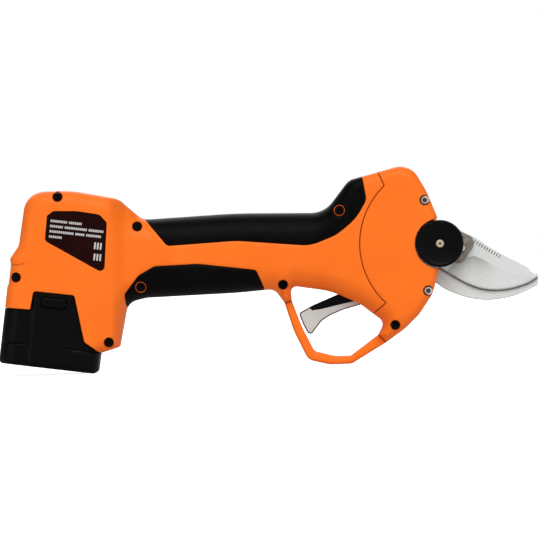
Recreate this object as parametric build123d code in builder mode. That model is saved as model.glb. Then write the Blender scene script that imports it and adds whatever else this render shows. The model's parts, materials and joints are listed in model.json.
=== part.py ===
"""Battery electric pruner, as an assembly of separate pieces, in millimetres.

Frame: X runs along the drive axis towards the blade tip, Z is up, and the seen right-hand side faces -Y.
The tool rests upright on the battery's front lower edge and on the flat under its trigger guard, which both
touch z = 0. The origin is below the middle of the whole tool. Motor, gearbox, output shaft and blade pivot
share one straight drive axis.
"""

import math
import os

from build123d import *

# ---------------------------------------------------------------- driving dimensions
PIVOT_X = 112.0  # blade pivot, measured from the middle of the tool
AXIS_Z = 76.0  # height of the drive axis and the blade pivot
WALL = 2.5  # housing wall

REAR_HALF = 27.0  # half widths of the three parts of the body
GRIP_HALF = 20.5
HEAD_HALF = 20.0
REAR_EDGE = 8.0  # rounding of the long edges of each part
GRIP_EDGE = 16.0
HEAD_EDGE = 3.5
RUBBER = 1.2  # thickness of the soft grips

SEAM_R = 52.0  # the head covers end on an arc about the blade pivot
SEAM_TOP = (77.4, 114.6)
SEAM_FOOT = (75.6, 38.6)
SEAM_REST = [(60.0, 26.6), (60.0, -10.0), (150.0, -10.0), (150.0, 140.0), (71.5, 140.0), (71.5, 126.0)]

BATTERY_TILT = 8.5  # the battery slides out backwards and down at this angle from the vertical
BATTERY_BASE = (-144.6, 4.4)  # middle of the battery's base face
CELL_R, CELL_LENGTH = 9.2, 65.0

HOLE_R = 3.1  # recess over a housing screw
BOSS_R = 4.6
PILOT_R = 1.5
SCREW_SPOTS = [  # housing screws: (x, z, depth of the seat below the parting plane)
    (-134.4, 115.2, 20.0),
    (-83.8, 94.3, 11.5),
    (-163.2, 64.1, 20.0),
    (-104.6, 19.8, 20.0),
    (-82.9, 54.8, 12.0),
    (9.4, 53.0, 9.0),
    (47.6, 99.9, 14.0),
]
CHIN_SPOT = (81.2, 24.2, 13.5)
COVER_SPOTS = [(103.2, 104.5), (103.4, 45.7)]

# planetary gearbox, two equal stages
RING_TEETH, SUN_TEETH, PLANET_TEETH = 48, 12, 18
PLANET_MODULE = 0.6
PRESSURE = 25.0  # pressure angle
ADDENDUM, DEDENDUM = 0.8, 1.1  # in modules
BACKLASH = 0.10  # taken off each tooth's thickness
GEARBOX_R = 17.0
CARRIER_R = (SUN_TEETH + PLANET_TEETH) * PLANET_MODULE / 2

# bevel pair: the pinion on the drive axis turns the fan-shaped sector on the blade
PINION_TEETH, SECTOR_TEETH = 10, 60
SECTOR_R = 44.0
BEVEL_MODULE = 2 * SECTOR_R / SECTOR_TEETH
BEVEL_FACE = 9.0  # tooth length along the radius

# layers across the head, as y positions
FAN_Y = (-13.5, -9.3)
BLADE_Y = (-3.8, -0.3)
HOOK_HALF = 4.5  # the counter blade reaches from the parting plane this far to the left
FRAME_Y = (9.6, 14.6)

TRIGGER_PIVOT = (66.5, 47.0)
BOLT_R = 4.0  # pivot bolt
BUSH_R = 5.5  # bushing that the blade and the sector turn with
DRIVE_R = 2.7
DRIVE_PIN = (126.9, 72.7)  # turns the blade with the sector
TANG_SPOTS = [(94.0, 66.0), (94.0, 86.0)]  # screws of the counter blade
POWER_SPOT = (-128.0, 92.0)  # on the left side, across from the label
LENS_SPOT = (-128.0, 103.0)

# ---------------------------------------------------------------- outlines: (x, z, corner radius)
REAR = [
    (-171.4, 44.9, 0),
    (-169.6, 57.2, 3),
    (-168.3, 60.6, 4),
    (-166.5, 72.4, 2),
    (-167.0, 76.4, 2),
    (-160.9, 84.6, 8),
    (-154.6, 120.0, 10),
    (-125.5, 119.6, 60),
    (-95.6, 113.0, 8),
    (-92.6, 104.0, 3),
    (-92.8, 42.4, 20),
    (-98.4, 16.2, 2),
    (-110.6, 12.8, 1.5),
]
WELL = [  # cavity above the battery's rim
    (-167.6, 50.0, 0),
    (-163.6, 75.0, 6),
    (-158.4, 83.5, 8),
    (-152.4, 117.0, 8),
    (-125.5, 117.0, 60),
    (-97.0, 110.6, 6),
    (-95.3, 102.0, 3),
    (-95.3, 50.0, 0),
]
HEAD = [
    (16.0, 98.8, 0),
    (38.2, 98.9, 16),
    (54.8, 119.2, 9),
    (94.4, 129.0, 16),
    (104.6, 110.6, 40),
    (111.0, 93.6, 2),
    (111.6, 60.4, 4),
    (105.6, 43.2, 8),
    (97.6, 31.0, 30),
    (87.5, 21.4, 60),
    (75.5, 13.2, 0),
    (70.4, 18.3, 0),
    (75.0, 25.9, 6),
    (58.8, 39.0, 20),
    (40.0, 47.8, 50),
    (16.0, 51.6, 0),
]
HEAD_SHARP = [(16.0, 75.0), (73.0, 15.7)]  # edges left sharp: inside the handle, and where the guard butts
HANDLE = [  # sections along X: (x, lowest z, highest z, half width)
    (-97.0, 44.0, 112.6, 23.0),
    (-93.0, 44.6, 111.2, 22.6),
    (-79.8, 47.7, 98.9, GRIP_HALF),
    (-20.0, 48.8, 100.3, GRIP_HALF),
    (30.0, 50.2, 99.4, GRIP_HALF),
    (44.0, 52.0, 99.6, GRIP_HALF - 1),
]
LEG_WELL = [
    (-123.2, 52.0, 0),
    (-118.0, 23.2, 2),
    (-110.2, 17.2, 2),
    (-100.8, 19.2, 2),
    (-95.3, 44.0, 0),
    (-95.3, 52.0, 0),
]
GUARD_ROOT = [
    (-9.0, 49.3, 0),
    (3.0, 50.6, 6),
    (9.9, 41.2, 0),
    (14.9, 42.2, 0),
    (14.7, 50.9, 3),
    (22.0, 51.6, 0),
    (22.0, 57.0, 0),
    (-9.0, 57.0, 0),
]
GUARD = [
    (9.8, 40.9, 0),
    (15.3, 22.6, 60),
    (24.0, 3.6, 7),
    (38.0, 0.0, 20),
    (52.4, 0.0, 7),
    (75.6, 12.9, 0),
    (70.6, 18.0, 0),
    (52.0, 5.2, 3),
    (42.0, 5.3, 20),
    (28.4, 9.0, 4),
    (20.6, 25.6, 60),
    (14.8, 41.9, 0),
]
BATTERY_SIDE = [  # where the battery is as wide as the housing
    (-176.9, 9.2, 3),
    (-171.5, 44.5, 0),
    (-154.5, 42.7, 0),
    (-151.9, 54.6, 2),
    (-126.1, 50.8, 2),
    (-120.8, 20.6, 4),
    (-110.9, 12.4, 0),
    (-113.2, -0.411, 3),
]
UPPER_GRIP = [
    (62.8, 121.5, 0),
    (65.2, 106.0, 6),
    (58.5, 94.6, 10),
    (45.7, 84.2, 20),
    (28.0, 77.9, 12),
    (-20.0, 82.6, 60),
    (-64.5, 81.2, 5),
    (-80.0, 99.6, 0),
    (-80.0, 106.0, 0),
    (30.0, 112.0, 0),
]
LOWER_GRIP = [
    (-92.9, 43.6, 1.5),
    (-92.9, 51.0, 3),
    (-84.0, 62.0, 8),
    (-73.5, 68.0, 8),
    (-45.0, 68.3, 30),
    (-7.6, 63.2, 3),
    (-3.1, 51.6, 1.5),
    (-4.8, 46.0, 0),
    (-60.0, 43.0, 0),
    (-88.0, 41.6, 1.5),
]
LABEL = [
    (-136.9, 106.0, 3),
    (-107.0, 102.4, 4),
    (-103.3, 97.4, 3),
    (-107.4, 65.9, 3),
    (-143.5, 87.1, 3),
    (-141.6, 103.3, 2),
]
TRIGGER = [
    (70.0, 50.6, 3),
    (70.0, 43.4, 3),
    (60.0, 38.3, 3),
    (47.8, 35.2, 30),
    (40.0, 32.2, 20),
    (33.7, 28.5, 12),
    (27.0, 20.2, 1.4),
    (24.5, 20.8, 1.4),
    (21.8, 26.2, 20),
    (19.0, 34.2, 1.8),
    (28.4, 39.6, 20),
    (46.0, 46.6, 30),
    (58.0, 51.6, 3),
]
INSERT = [  # the inlaid strip on each side of the trigger
    (56.0, 44.6, 0.5),
    (46.2, 44.7, 5),
    (30.4, 39.8, 20),
    (25.6, 37.2, 0.5),
    (27.7, 35.6, 0.8),
    (34.2, 36.3, 10),
    (56.0, 40.6, 0.5),
]

# blade outlines, as plain (x, z) points
BLADE_BACK = [
    (128.9, 82.3), (135.3, 79.4), (144.8, 72.4), (154.3, 66.6), (162.6, 62.2), (169.0, 58.4),
    (174.0, 53.6),
]
BLADE_TIP = (175.9, 51.3)
BLADE_EDGE = [
    (169.9, 47.6), (160.0, 44.6), (148.3, 43.4), (137.3, 45.0), (127.7, 49.3), (118.8, 55.0),
    (111.1, 59.8),
]
GRIND_LINE = [  # where the flat ends and the one-sided grind begins
    (171.0, 50.0), (163.0, 49.2), (151.5, 50.4), (141.5, 57.0), (133.5, 66.8), (123.6, 63.6),
    (111.6, 60.2),
]
COUNTER_BLADE = [
    (88.0, 62.0), (88.0, 90.0), (112.0, 90.4), (122.0, 86.0), (125.0, 72.0), (119.0, 58.4),
    (128.0, 52.4), (138.0, 48.6), (149.0, 47.0), (160.0, 47.8), (170.0, 51.0), (174.0, 54.0),
    (175.6, 54.4), (176.1, 52.6), (175.6, 46.6), (169.9, 44.0), (163.8, 41.4), (157.7, 39.6),
    (150.2, 38.4), (142.8, 38.0), (132.9, 39.2), (124.3, 41.9), (115.7, 45.6), (109.3, 50.5),
    (100.0, 58.0),
]


def profile(corners, grow=0.0):
    """Flat face from (x, z, radius) corners, grown outwards by an amount."""
    with BuildSketch() as made:
        with BuildLine():
            FilletPolyline(*[(x, z) for x, z, _ in corners], radius=[r for _, _, r in corners], close=True)
        make_face()
        if grow:
            offset(amount=grow, kind=Kind.INTERSECTION)
    return made.sketch


def slab(corners, outer, edge=0.0, inner=0.0, grow=0.0, sharp=()):
    """Right-hand slab of an outline from y = -inner to y = -outer, rounded outside but near sharp spots."""
    with BuildPart() as made:
        with BuildSketch(Plane.XZ.offset(inner)):
            add(profile(corners, grow))
        extrude(amount=outer - inner)
        if edge:
            rim = made.faces().sort_by(Axis.Y)[0].edges()
            soft = [e for e in rim if all(math.dist((e.center().X, e.center().Z), s) > 3 for s in sharp)]
            fillet(soft, edge)
    return made.part


def through(corners, y_from=-40.0, y_to=40.0, grow=0.0):
    """Slab of an outline from y_from to y_to, used as a cutter or as a plate."""
    with BuildPart() as made:
        with BuildSketch(Plane.XZ.offset(-y_to)):
            add(profile(corners, grow))
        extrude(amount=y_to - y_from)
    return made.part


def rod(x, z, radius, y_from, y_to, bore=0.0):
    """Cylinder or ring across the tool, from y_from to y_to."""
    with BuildPart() as made:
        with BuildSketch(Plane.XZ.offset(-y_to)):
            with Locations((x, z)):
                Circle(radius)
                if bore:
                    Circle(bore, mode=Mode.SUBTRACT)
        extrude(amount=y_to - y_from)
    return made.part


def shaft(x_from, x_to, radius, bore=0.0, y=0.0, z=AXIS_Z):
    """Cylinder or ring along X, on the drive axis unless y and z say otherwise."""
    with BuildPart() as made:
        with BuildSketch(Plane.YZ.offset(x_from)):
            with Locations((y, z)):
                Circle(radius)
                if bore:
                    Circle(bore, mode=Mode.SUBTRACT)
        extrude(amount=x_to - x_from)
    return made.part


def brick(low, high):
    """Box between two corners."""
    with BuildPart() as made:
        with BuildSketch(Plane.XY.offset(low[2])):
            with Locations(((low[0] + high[0]) / 2, (low[1] + high[1]) / 2)):
                Rectangle(high[0] - low[0], high[1] - low[1])
        extrude(amount=high[2] - low[2])
    return made.part


def mirrored(piece):
    """The same piece on the other side of the parting plane."""
    return mirror(piece, about=Plane.XZ)


def group(pieces):
    """Several alike or opposite solids as one node."""
    return Compound(children=[solid for piece in pieces for solid in piece.solids()])


def export(piece, name):
    """Writes one node."""
    piece.label = name
    export_step(piece, f"parts/{name}.step")
    print(name, len(piece.solids()), round(piece.volume))


# ---------------------------------------------------------------- body form
def handle_form(inset=0.0):
    """Right-hand half of the handle, lofted through rounded rectangles; inset draws it in."""
    with BuildPart() as made:
        for x, low, high, half in HANDLE:
            with BuildSketch(Plane.YZ.offset(x)):
                with Locations((0, (low + high) / 2)):
                    RectangleRounded(2 * (half - inset), high - low - 2 * inset, GRIP_EDGE - inset)
        loft(ruled=True)
        split(bisect_by=Plane.XZ, keep=Keep.TOP)
    return made.part


def body_form(inset=0.0):
    """Right-hand half of the whole outer form, or of the form drawn in by an amount."""
    with BuildPart() as made:
        add(slab(REAR, REAR_HALF - inset, REAR_EDGE - inset, grow=-inset))
        add(handle_form(inset))
        add(slab(HEAD, HEAD_HALF - inset, HEAD_EDGE - inset, grow=-inset, sharp=HEAD_SHARP))
        if not inset:
            add(slab(GUARD_ROOT, 9.0, 2.0))
    return made.part


def body_cavity():
    """Right-hand half of the space inside the walls."""
    with BuildPart() as made:
        add(slab(WELL, REAR_HALF - WALL, REAR_EDGE - WALL))
        add(slab(LEG_WELL, REAR_HALF - WALL))
        add(handle_form(WALL))
        add(slab(HEAD, HEAD_HALF - WALL, grow=-WALL))
    return made.part


def cover_region():
    """Cutter for all that lies in front of the head seam: an arc about the pivot with straight ends."""
    with BuildPart() as made:
        with BuildSketch(Plane.XZ.offset(-40)):
            with BuildLine():
                ThreePointArc(SEAM_TOP, (PIVOT_X - SEAM_R, AXIS_Z), SEAM_FOOT)
                Polyline(SEAM_FOOT, *SEAM_REST, SEAM_TOP)
            make_face()
        extrude(amount=80)
    return made.part


def tilted(p, q):
    """Point (x, z) at p along the battery's base and q up its axis."""
    lean = math.radians(BATTERY_TILT)
    x = BATTERY_BASE[0] + p * math.cos(lean) + q * math.sin(lean)
    z = BATTERY_BASE[1] - p * math.sin(lean) + q * math.cos(lean)
    return x, z


def battery_block(p_low, p_high, q_low, q_high, half, radius=0.0):
    """Upright block in the battery's own tilted directions, right across the tool."""
    corners = [(p_low, q_low), (p_low, q_high), (p_high, q_high), (p_high, q_low)]
    return through([(*tilted(p, q), radius) for p, q in corners], -half, half)


def battery_cutter():
    """Room the battery needs in the right half of the housing."""
    with BuildPart() as made:
        add(through(BATTERY_SIDE, grow=0.3))
        add(battery_block(-22.2, 22.2, 8, 84, 22.2))
    return made.part


def grip_pieces(form):
    """Right-hand grips: the outer layer of the body inside their outlines."""
    layer = form - body_form(RUBBER)
    upper = layer & through(UPPER_GRIP, -40, 0)
    lower = layer & through(LOWER_GRIP, -40, 0)
    for x, z, _ in SCREW_SPOTS:
        upper = upper - rod(x, z, HOLE_R + 1.1, -40, 0)
        lower = lower - rod(x, z, HOLE_R + 1.1, -40, 0)
    return biggest(upper), biggest(lower)


def biggest(shape):
    """The largest solid of a shape, as a part."""
    return Part() + sorted(shape.solids(), key=lambda s: s.volume)[-1]


def boss(form, x, z, radius, y_from=-30.0):
    """Screw pillar from the wall to the parting plane."""
    return form & rod(x, z, radius, y_from, 0)


def housing_and_covers():
    """The six shell pieces of the body, right and left, and their grips."""
    form = body_form()
    shell = form - body_cavity()
    region = cover_region()
    upper, lower = grip_pieces(form)

    body = shell + [boss(form, x, z, BOSS_R) for x, z, _ in SCREW_SPOTS]
    body = body - battery_cutter() - region - through(GUARD, -12, 12, grow=0.02)
    body = body - brick((24, -6.4, 30), (72, 6.4, 56)) - upper - lower
    for_left = biggest(body) - rod(*POWER_SPOT, 5.6, -30, -20) - rod(*LENS_SPOT, 1.6, -30, -20)
    right = body - through(LABEL, -REAR_HALF - 1, -REAR_HALF + 0.35)
    for x, z, seat in SCREW_SPOTS:
        right = right - rod(x, z, HOLE_R, -30, -seat) - rod(x, z, PILOT_R + 0.2, -seat, 1)
        for_left = for_left - rod(x, z, PILOT_R, -10, 1)
    export(biggest(right), "housing_right")
    export(mirrored(biggest(for_left)), "housing_left")

    chin_x, chin_z, chin_seat = CHIN_SPOT
    cover = (shell & region) + boss(form & region, chin_x, chin_z, BOSS_R)
    for x, z in COVER_SPOTS:
        cover = cover + boss(form, x, z, 3.2) + boss(form - rod(x, z, 30, -14, 1), x, z, 5.0)
    cover = cover - through(GUARD, -12, 12, grow=0.02)
    cover = cover - upper
    cover_left = cover - brick((84, -5.0, 42), (130, 1, 97)) - rod(PIVOT_X, AXIS_Z, 16.2, -15.4, 1)
    cover_left = cover_left - rod(PIVOT_X, AXIS_Z, 8.2, -30, 1)
    cover_right = cover - brick((84, -9.6, 42), (130, 1, 97)) - rod(PIVOT_X, AXIS_Z, 16.2, -30, 1)
    cover_right = cover_right - rod(chin_x, chin_z, HOLE_R, -30, -chin_seat)
    cover_right = cover_right - rod(chin_x, chin_z, PILOT_R + 0.2, -chin_seat, 1)
    cover_left = cover_left - rod(chin_x, chin_z, PILOT_R, -10, 1)
    for x, z in COVER_SPOTS:
        cover_right = cover_right - rod(x, z, 3.6, -30, -16.2) - rod(x, z, PILOT_R + 0.2, -17, 1)
        cover_left = cover_left - rod(x, z, PILOT_R, -12, 1)
    trim = shaft(50, 64, 14.4)
    export(biggest(cover_right - trim), "head_cover_right")
    export(mirrored(biggest(cover_left - trim)), "head_cover_left")
    export(upper, "upper_grip_right")
    export(mirrored(upper), "upper_grip_left")
    export(lower, "lower_grip_right")
    export(mirrored(lower), "lower_grip_left")


def power_parts():
    """Power button and status lens, both just below the left side of the housing."""
    with BuildPart() as button:
        add(rod(*POWER_SPOT, 5.2, 22.6, 26.6))
        fillet(button.edges().filter_by(GeomType.CIRCLE).sort_by(Axis.Y)[-1], 0.8)
    export(button.part, "power_button")
    export(rod(*LENS_SPOT, 1.6, 24.0, 26.8), "status_lens")


def guard_part():
    """Closed-loop trigger guard."""
    with BuildPart() as made:
        with BuildSketch(Plane.XZ.offset(-7)):
            add(profile(GUARD))
        extrude(amount=14)
        ends = [(12.3, 41.4), (73.1, 15.5)]
        side = made.faces().filter_by(Axis.Y).edges()
        soft = [e for e in side if all(math.dist((e.center().X, e.center().Z), s) > 3 for s in ends)]
        fillet(soft, 1.6)
    export(made.part, "trigger_guard")


def body_screws():
    """Screws of the housing halves and of the head covers."""
    deep = []
    for x, z, seat in SCREW_SPOTS + [CHIN_SPOT]:
        with BuildPart() as screw:
            add(rod(x, z, 2.9, -seat - 2.6, -seat))
            add(rod(x, z, PILOT_R, -seat, 9.5))
            with BuildSketch(Plane.XZ.offset(seat + 1.2)):
                with Locations((x, z)):
                    RegularPolygon(1.45, 6)
            extrude(amount=2, mode=Mode.SUBTRACT)
        deep.append(screw.part)
    export(group(deep), "housing_screws")
    shallow = []
    for x, z in COVER_SPOTS:
        with BuildPart() as screw:
            add(rod(x, z, 3.25, -19.4, -16.2))
            add(rod(x, z, PILOT_R, -16.2, 11))
            with BuildSketch(Plane.XZ.offset(17.6)):
                with Locations((x, z)):
                    RegularPolygon(1.6, 6, rotation=15)
            extrude(amount=3, mode=Mode.SUBTRACT)
        shallow.append(screw.part)
    export(group(shallow), "head_cover_screws")


def battery_parts():
    """The sliding battery: outer foot, cell case, four cells and its contacts, and the two latch buttons."""
    with BuildPart() as foot:
        with BuildSketch(Plane.XZ.offset(-REAR_HALF + 0.2)):
            add(profile(BATTERY_SIDE))
        extrude(amount=2 * REAR_HALF - 0.4)
        fillet(foot.faces().filter_by(Axis.Y).edges().filter_by(lambda e: e.center().Z < 3.6), 3)
        add(battery_block(-21.6, 21.6, 9.0, 90, 21.6), mode=Mode.SUBTRACT)
        for side in (-1, 1):
            x, z = tilted(-1, 42.4)
            y_low, y_high = sorted((side * 21.5, side * 27))
            with BuildSketch(Plane.XZ.offset(-y_high)):
                with Locations(Location((x, z), -BATTERY_TILT)):
                    RectangleRounded(17.2, 7.2, 2.2)
            extrude(amount=y_high - y_low, mode=Mode.SUBTRACT)
    export(foot.part, "battery_foot")

    for side, name in ((-1, "latch_button_right"), (1, "latch_button_left")):
        with BuildPart() as latch:
            x, z = tilted(-1, 42.4)
            y_low, y_high = sorted((side * 24.0, side * 26.8))
            with BuildSketch(Plane.XZ.offset(-y_high)):
                with Locations(Location((x, z), -BATTERY_TILT)):
                    RectangleRounded(16.4, 6.4, 1.9)
            extrude(amount=y_high - y_low)
        export(latch.part, name)

    with BuildPart() as case:
        add(battery_block(-21.6, 21.6, 9.0, 79, 21.6, 0))
        add(battery_block(-19.6, 19.6, 11.0, 77, 19.6, 0), mode=Mode.SUBTRACT)
        add(battery_block(-14, -6, 75, 81, 8), mode=Mode.SUBTRACT)
    export(case.part, "battery_case")

    cell_x, cell_z = tilted(0, 11.0)
    lean = math.radians(BATTERY_TILT)
    plane = Plane(origin=(cell_x, 0, cell_z), x_dir=(0, 1, 0), z_dir=(math.sin(lean), 0, math.cos(lean)))
    with BuildPart() as cells:
        with BuildSketch(plane):
            with GridLocations(19, 19, 2, 2):
                Circle(CELL_R)
        extrude(amount=CELL_LENGTH)
        with BuildSketch(plane.offset(CELL_LENGTH)):
            with GridLocations(19, 19, 2, 2):
                Circle(2.8)
        extrude(amount=0.9)
    export(cells.part, "battery_cells")

    blades = [battery_block(-11.5, -8.5, 77, 80.5, 0.4).moved(Location((0, y, 0))) for y in (-5, 0, 5)]
    with BuildPart() as base:
        add(battery_block(-13.9, -6.1, 76.95, 77.9, 7.9))
        for blade in blades:
            add(blade)
    export(base.part, "battery_contacts")
    with BuildPart() as block:
        add(battery_block(-15, -5, 81.2, 88.0, 9))
        for y in (-5, 0, 5):
            add(battery_block(-12, -8, 81.0, 85, 0.8).moved(Location((0, y, 0))), mode=Mode.SUBTRACT)
    export(block.part, "terminal_block")
    export(brick((-148.6, -19, 96.4), (-104, 19, 98.0)), "control_board")


def motor_parts():
    """Brushless motor: can, end plates, stator, shaft, magnet and bearings."""
    export(shaft(-70, -20, GEARBOX_R, GEARBOX_R - 1.5), "motor_can")
    with BuildPart() as rear:
        add(shaft(-72.5, -70, GEARBOX_R, 4))
        add(shaft(-70, -65, 8.5, 6.5))
    export(rear.part, "motor_rear_cap")
    with BuildPart() as front:
        add(shaft(-20, -16.4, GEARBOX_R, 4))
        add(shaft(-25, -20, 8.5, 6.5))
    export(front.part, "motor_front_plate")
    with BuildPart() as stator:
        add(shaft(-60, -30, GEARBOX_R - 1.5, 12.5))
        with BuildSketch(Plane.YZ.offset(-60)):
            with Locations((0, AXIS_Z)):
                with PolarLocations(11.4, 9):
                    Rectangle(3.0, 4.4)
        extrude(amount=30)
    export(stator.part, "stator")
    with BuildPart() as spindle:
        add(shaft(-71, -18.5, 2.5))
        add(shaft(-18.5, -5.8, 1.6))
    export(spindle.part, "rotor_shaft")
    export(shaft(-58, -32, 9.3, 2.5), "rotor_magnet")
    export(group([shaft(-69.9, -66, 6.5, 2.53), shaft(-24, -20.1, 6.5, 2.53)]), "motor_bearings")


def gear_points(teeth, module, tip, root, slack):
    """Corner points of a wheel with straight-sided teeth near the involute; tooth one is at angle 0."""
    pitch = teeth * module / 2
    base = pitch * math.cos(math.radians(PRESSURE))
    involute = math.tan(math.radians(PRESSURE)) - math.radians(PRESSURE)
    half = math.pi / (2 * teeth) - slack / (2 * pitch)

    def half_angle(radius):
        if radius <= base:
            return half + involute
        angle = math.acos(base / radius)
        return half + involute - (math.tan(angle) - angle)

    heights = sorted({root, max(root + 0.01, base), pitch, tip})
    points = []
    for tooth in range(teeth):
        middle = 2 * math.pi * tooth / teeth
        flank = [(r, half_angle(r)) for r in heights]
        points += [(r * math.cos(middle - a), r * math.sin(middle - a)) for r, a in flank]
        points += [(r * math.cos(middle + a), r * math.sin(middle + a)) for r, a in reversed(flank)]
    return points


def wheel(x_from, x_to, teeth, bore, y=0.0, z=AXIS_Z, turn=0.0):
    """External planetary gear along X."""
    pitch = teeth * PLANET_MODULE / 2
    tip = pitch + ADDENDUM * PLANET_MODULE
    root = pitch - DEDENDUM * PLANET_MODULE
    points = gear_points(teeth, PLANET_MODULE, tip, root, BACKLASH)
    with BuildPart() as made:
        with BuildSketch(Plane.YZ.offset(x_from)):
            with Locations(Location((y, z), turn)):
                Polygon(*points, align=None)
                Circle(bore, mode=Mode.SUBTRACT)
        extrude(amount=x_to - x_from)
    return made.part


def planet_spots():
    """Centres (y, z) and angles of the three planets."""
    return [(CARRIER_R * math.cos(math.radians(a)), AXIS_Z + CARRIER_R * math.sin(math.radians(a)), a)
            for a in (0, 120, 240)]


def gearbox_parts():
    """Two planetary stages inside one ring gear, and the output shaft."""
    ring_pitch = RING_TEETH * PLANET_MODULE / 2
    hollow = ring_pitch + DEDENDUM * PLANET_MODULE
    crest = ring_pitch - ADDENDUM * PLANET_MODULE
    points = gear_points(RING_TEETH, PLANET_MODULE, hollow, crest, -BACKLASH)
    half_tooth = 180 / RING_TEETH
    with BuildPart() as ring:
        with BuildSketch(Plane.YZ.offset(-16.4)):
            with Locations((0, AXIS_Z)):
                Circle(GEARBOX_R)
            with Locations(Location((0, AXIS_Z), half_tooth)):
                Polygon(*points, align=None, mode=Mode.SUBTRACT)
        extrude(amount=36.4)
    export(ring.part, "ring_gear")

    for stage, x_low in ((1, -15.0), (2, 0.4)):
        bore = 1.6 if stage == 1 else 1.5
        sun = wheel(x_low, x_low + 8.4, SUN_TEETH, bore)
        if stage == 2:
            with BuildPart() as hub:
                add(sun)
                add(shaft(x_low - 1.2, x_low + 8.4, 1.5))
            sun = hub.part
        export(sun, f"sun_gear_{stage}")
        for letter, (y, z, angle) in zip("abc", planet_spots()):
            turn = angle + 180 / PLANET_TEETH
            export(wheel(x_low, x_low + 8.4, PLANET_TEETH, 1.55, y, z, turn), f"planet_{stage}{letter}")

    with BuildPart() as carrier:
        add(shaft(-5.8, -0.8, 12.4, 0))
        add(shaft(-5.8, -4.8, 3.2, 0), mode=Mode.SUBTRACT)
        for y, z, _ in planet_spots():
            add(shaft(-15.2, -5.8, 1.5, 0, y, z))
    export(carrier.part, "carrier_1")

    with BuildPart() as output:
        add(shaft(9.6, 14.6, 12.4))
        add(shaft(14.6, 62.0, 5.0))
        add(shaft(62.0, 77.6, 2.9))
        for y, z, _ in planet_spots():
            add(shaft(0.6, 9.6, 1.5, 0, y, z))
    export(output.part, "output_carrier")
    with BuildPart() as front:
        add(shaft(20.0, 27.0, GEARBOX_R, 8.0))
        add(shaft(25.6, 27.0, 9.0, 5.4))
    export(front.part, "gearbox_front_cover")
    export(group([shaft(20.6, 25.4, 8.0, 5.03), shaft(44.0, 50.0, 9.0, 5.03)]), "output_bearings")


def bevel_pinion():
    """Straight-toothed bevel pinion, its teeth shrinking towards the blade pivot."""
    outer = SECTOR_R
    inner = SECTOR_R - BEVEL_FACE
    pitch = PINION_TEETH * BEVEL_MODULE / 2
    tip = pitch + ADDENDUM * BEVEL_MODULE
    root = pitch - DEDENDUM * BEVEL_MODULE
    points = gear_points(PINION_TEETH, BEVEL_MODULE, tip, root, 2.4 * BACKLASH)
    with BuildPart() as made:
        for reach in (outer, inner):
            with BuildSketch(Plane.YZ.offset(PIVOT_X - reach)):
                with Locations(Location((0, AXIS_Z), 180)):
                    Polygon(*[(y * reach / outer, z * reach / outer) for y, z in points], align=None)
        loft(ruled=True)
        add(shaft(PIVOT_X - outer, PIVOT_X - inner, 2.9), mode=Mode.SUBTRACT)
    export(made.part, "bevel_pinion")


def sector_tooth(angle):
    """One tooth of the sector: a trapezoid that shrinks towards the pivot, standing on the fan."""
    turn = math.radians(angle)
    with BuildPart() as made:
        for reach in (SECTOR_R + 0.6, SECTOR_R - BEVEL_FACE - 0.4):
            scale = reach / SECTOR_R
            level = -reach / (SECTOR_TEETH / PINION_TEETH)
            half = (math.pi * BEVEL_MODULE / 4 - 1.2 * BACKLASH) * scale
            slope = math.tan(math.radians(PRESSURE))
            tip_y = level + ADDENDUM * BEVEL_MODULE * scale
            foot_y = FAN_Y[1] - 0.2
            tip_half = half - (tip_y - level) * slope
            foot_half = half + (level - foot_y) * slope
            centre = (PIVOT_X + reach * math.cos(turn), 0, AXIS_Z + reach * math.sin(turn))
            plane = Plane(origin=centre, x_dir=(0, 1, 0), z_dir=(math.cos(turn), 0, math.sin(turn)))
            with BuildSketch(plane):
                corners = [(tip_y, tip_half), (foot_y, foot_half), (foot_y, -foot_half), (tip_y, -tip_half)]
                Polygon(*corners, align=None)
        loft(ruled=True)
    return made.part


def sector_part():
    """Toothed fan, its hub on the pivot and the driver nose that lies on the blade."""
    fan_corners = [(8.0, 114.8), (60.0, 114.8), (80.0, 152.0), (60.0, 190.8), (8.0, 190.8)]
    fan_edge = [polar(radius, angle) for radius, angle in fan_corners]
    nose = [
        (*polar(8.0, 100.0), 0),
        (127.6, 84.6, 5),
        (136.6, 76.6, 6),
        (125.4, 61.2, 6),
        (*polar(8.0, 262.0), 0),
    ]
    with BuildPart() as fan:
        with BuildSketch(Plane.XZ.offset(-FAN_Y[1])):
            with Locations((PIVOT_X, AXIS_Z)):
                Circle(SECTOR_R + 3.0)
            Polygon(*fan_edge, align=None, mode=Mode.INTERSECT)
        extrude(amount=FAN_Y[1] - FAN_Y[0])
    made = fan.part + rod(PIVOT_X, AXIS_Z, 13.0, FAN_Y[0], -4.2) + through(nose, -8.2, -4.2)
    for spot in (138.0, 166.0):
        made = made - rod(*polar(27.0, spot), 4.6, FAN_Y[0] - 1, FAN_Y[1] + 1)
    made = made + [sector_tooth(117.0 + 6.0 * index) for index in range(13)]
    made = made - rod(PIVOT_X, AXIS_Z, BUSH_R, -16, 1) - rod(*DRIVE_PIN, DRIVE_R, -16, 1)
    export(biggest(made), "sector_gear")


def polar(radius, angle):
    """Point (x, z) at a radius and angle about the blade pivot."""
    return PIVOT_X + radius * math.cos(math.radians(angle)), AXIS_Z + radius * math.sin(math.radians(angle))


def blade_section(y, lower):
    """Blade outline at one depth, on its hub circle side closed straight."""
    back = [polar(13.6, 70.0)] + BLADE_BACK
    points = back + [BLADE_TIP] + lower + [polar(13.9, 235.0), polar(14.0, 180.0), polar(14.0, 125.0)]
    with BuildSketch(Plane.XZ.offset(-y)) as made:
        Polygon(*points, align=None)
    return made.sketch


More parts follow.
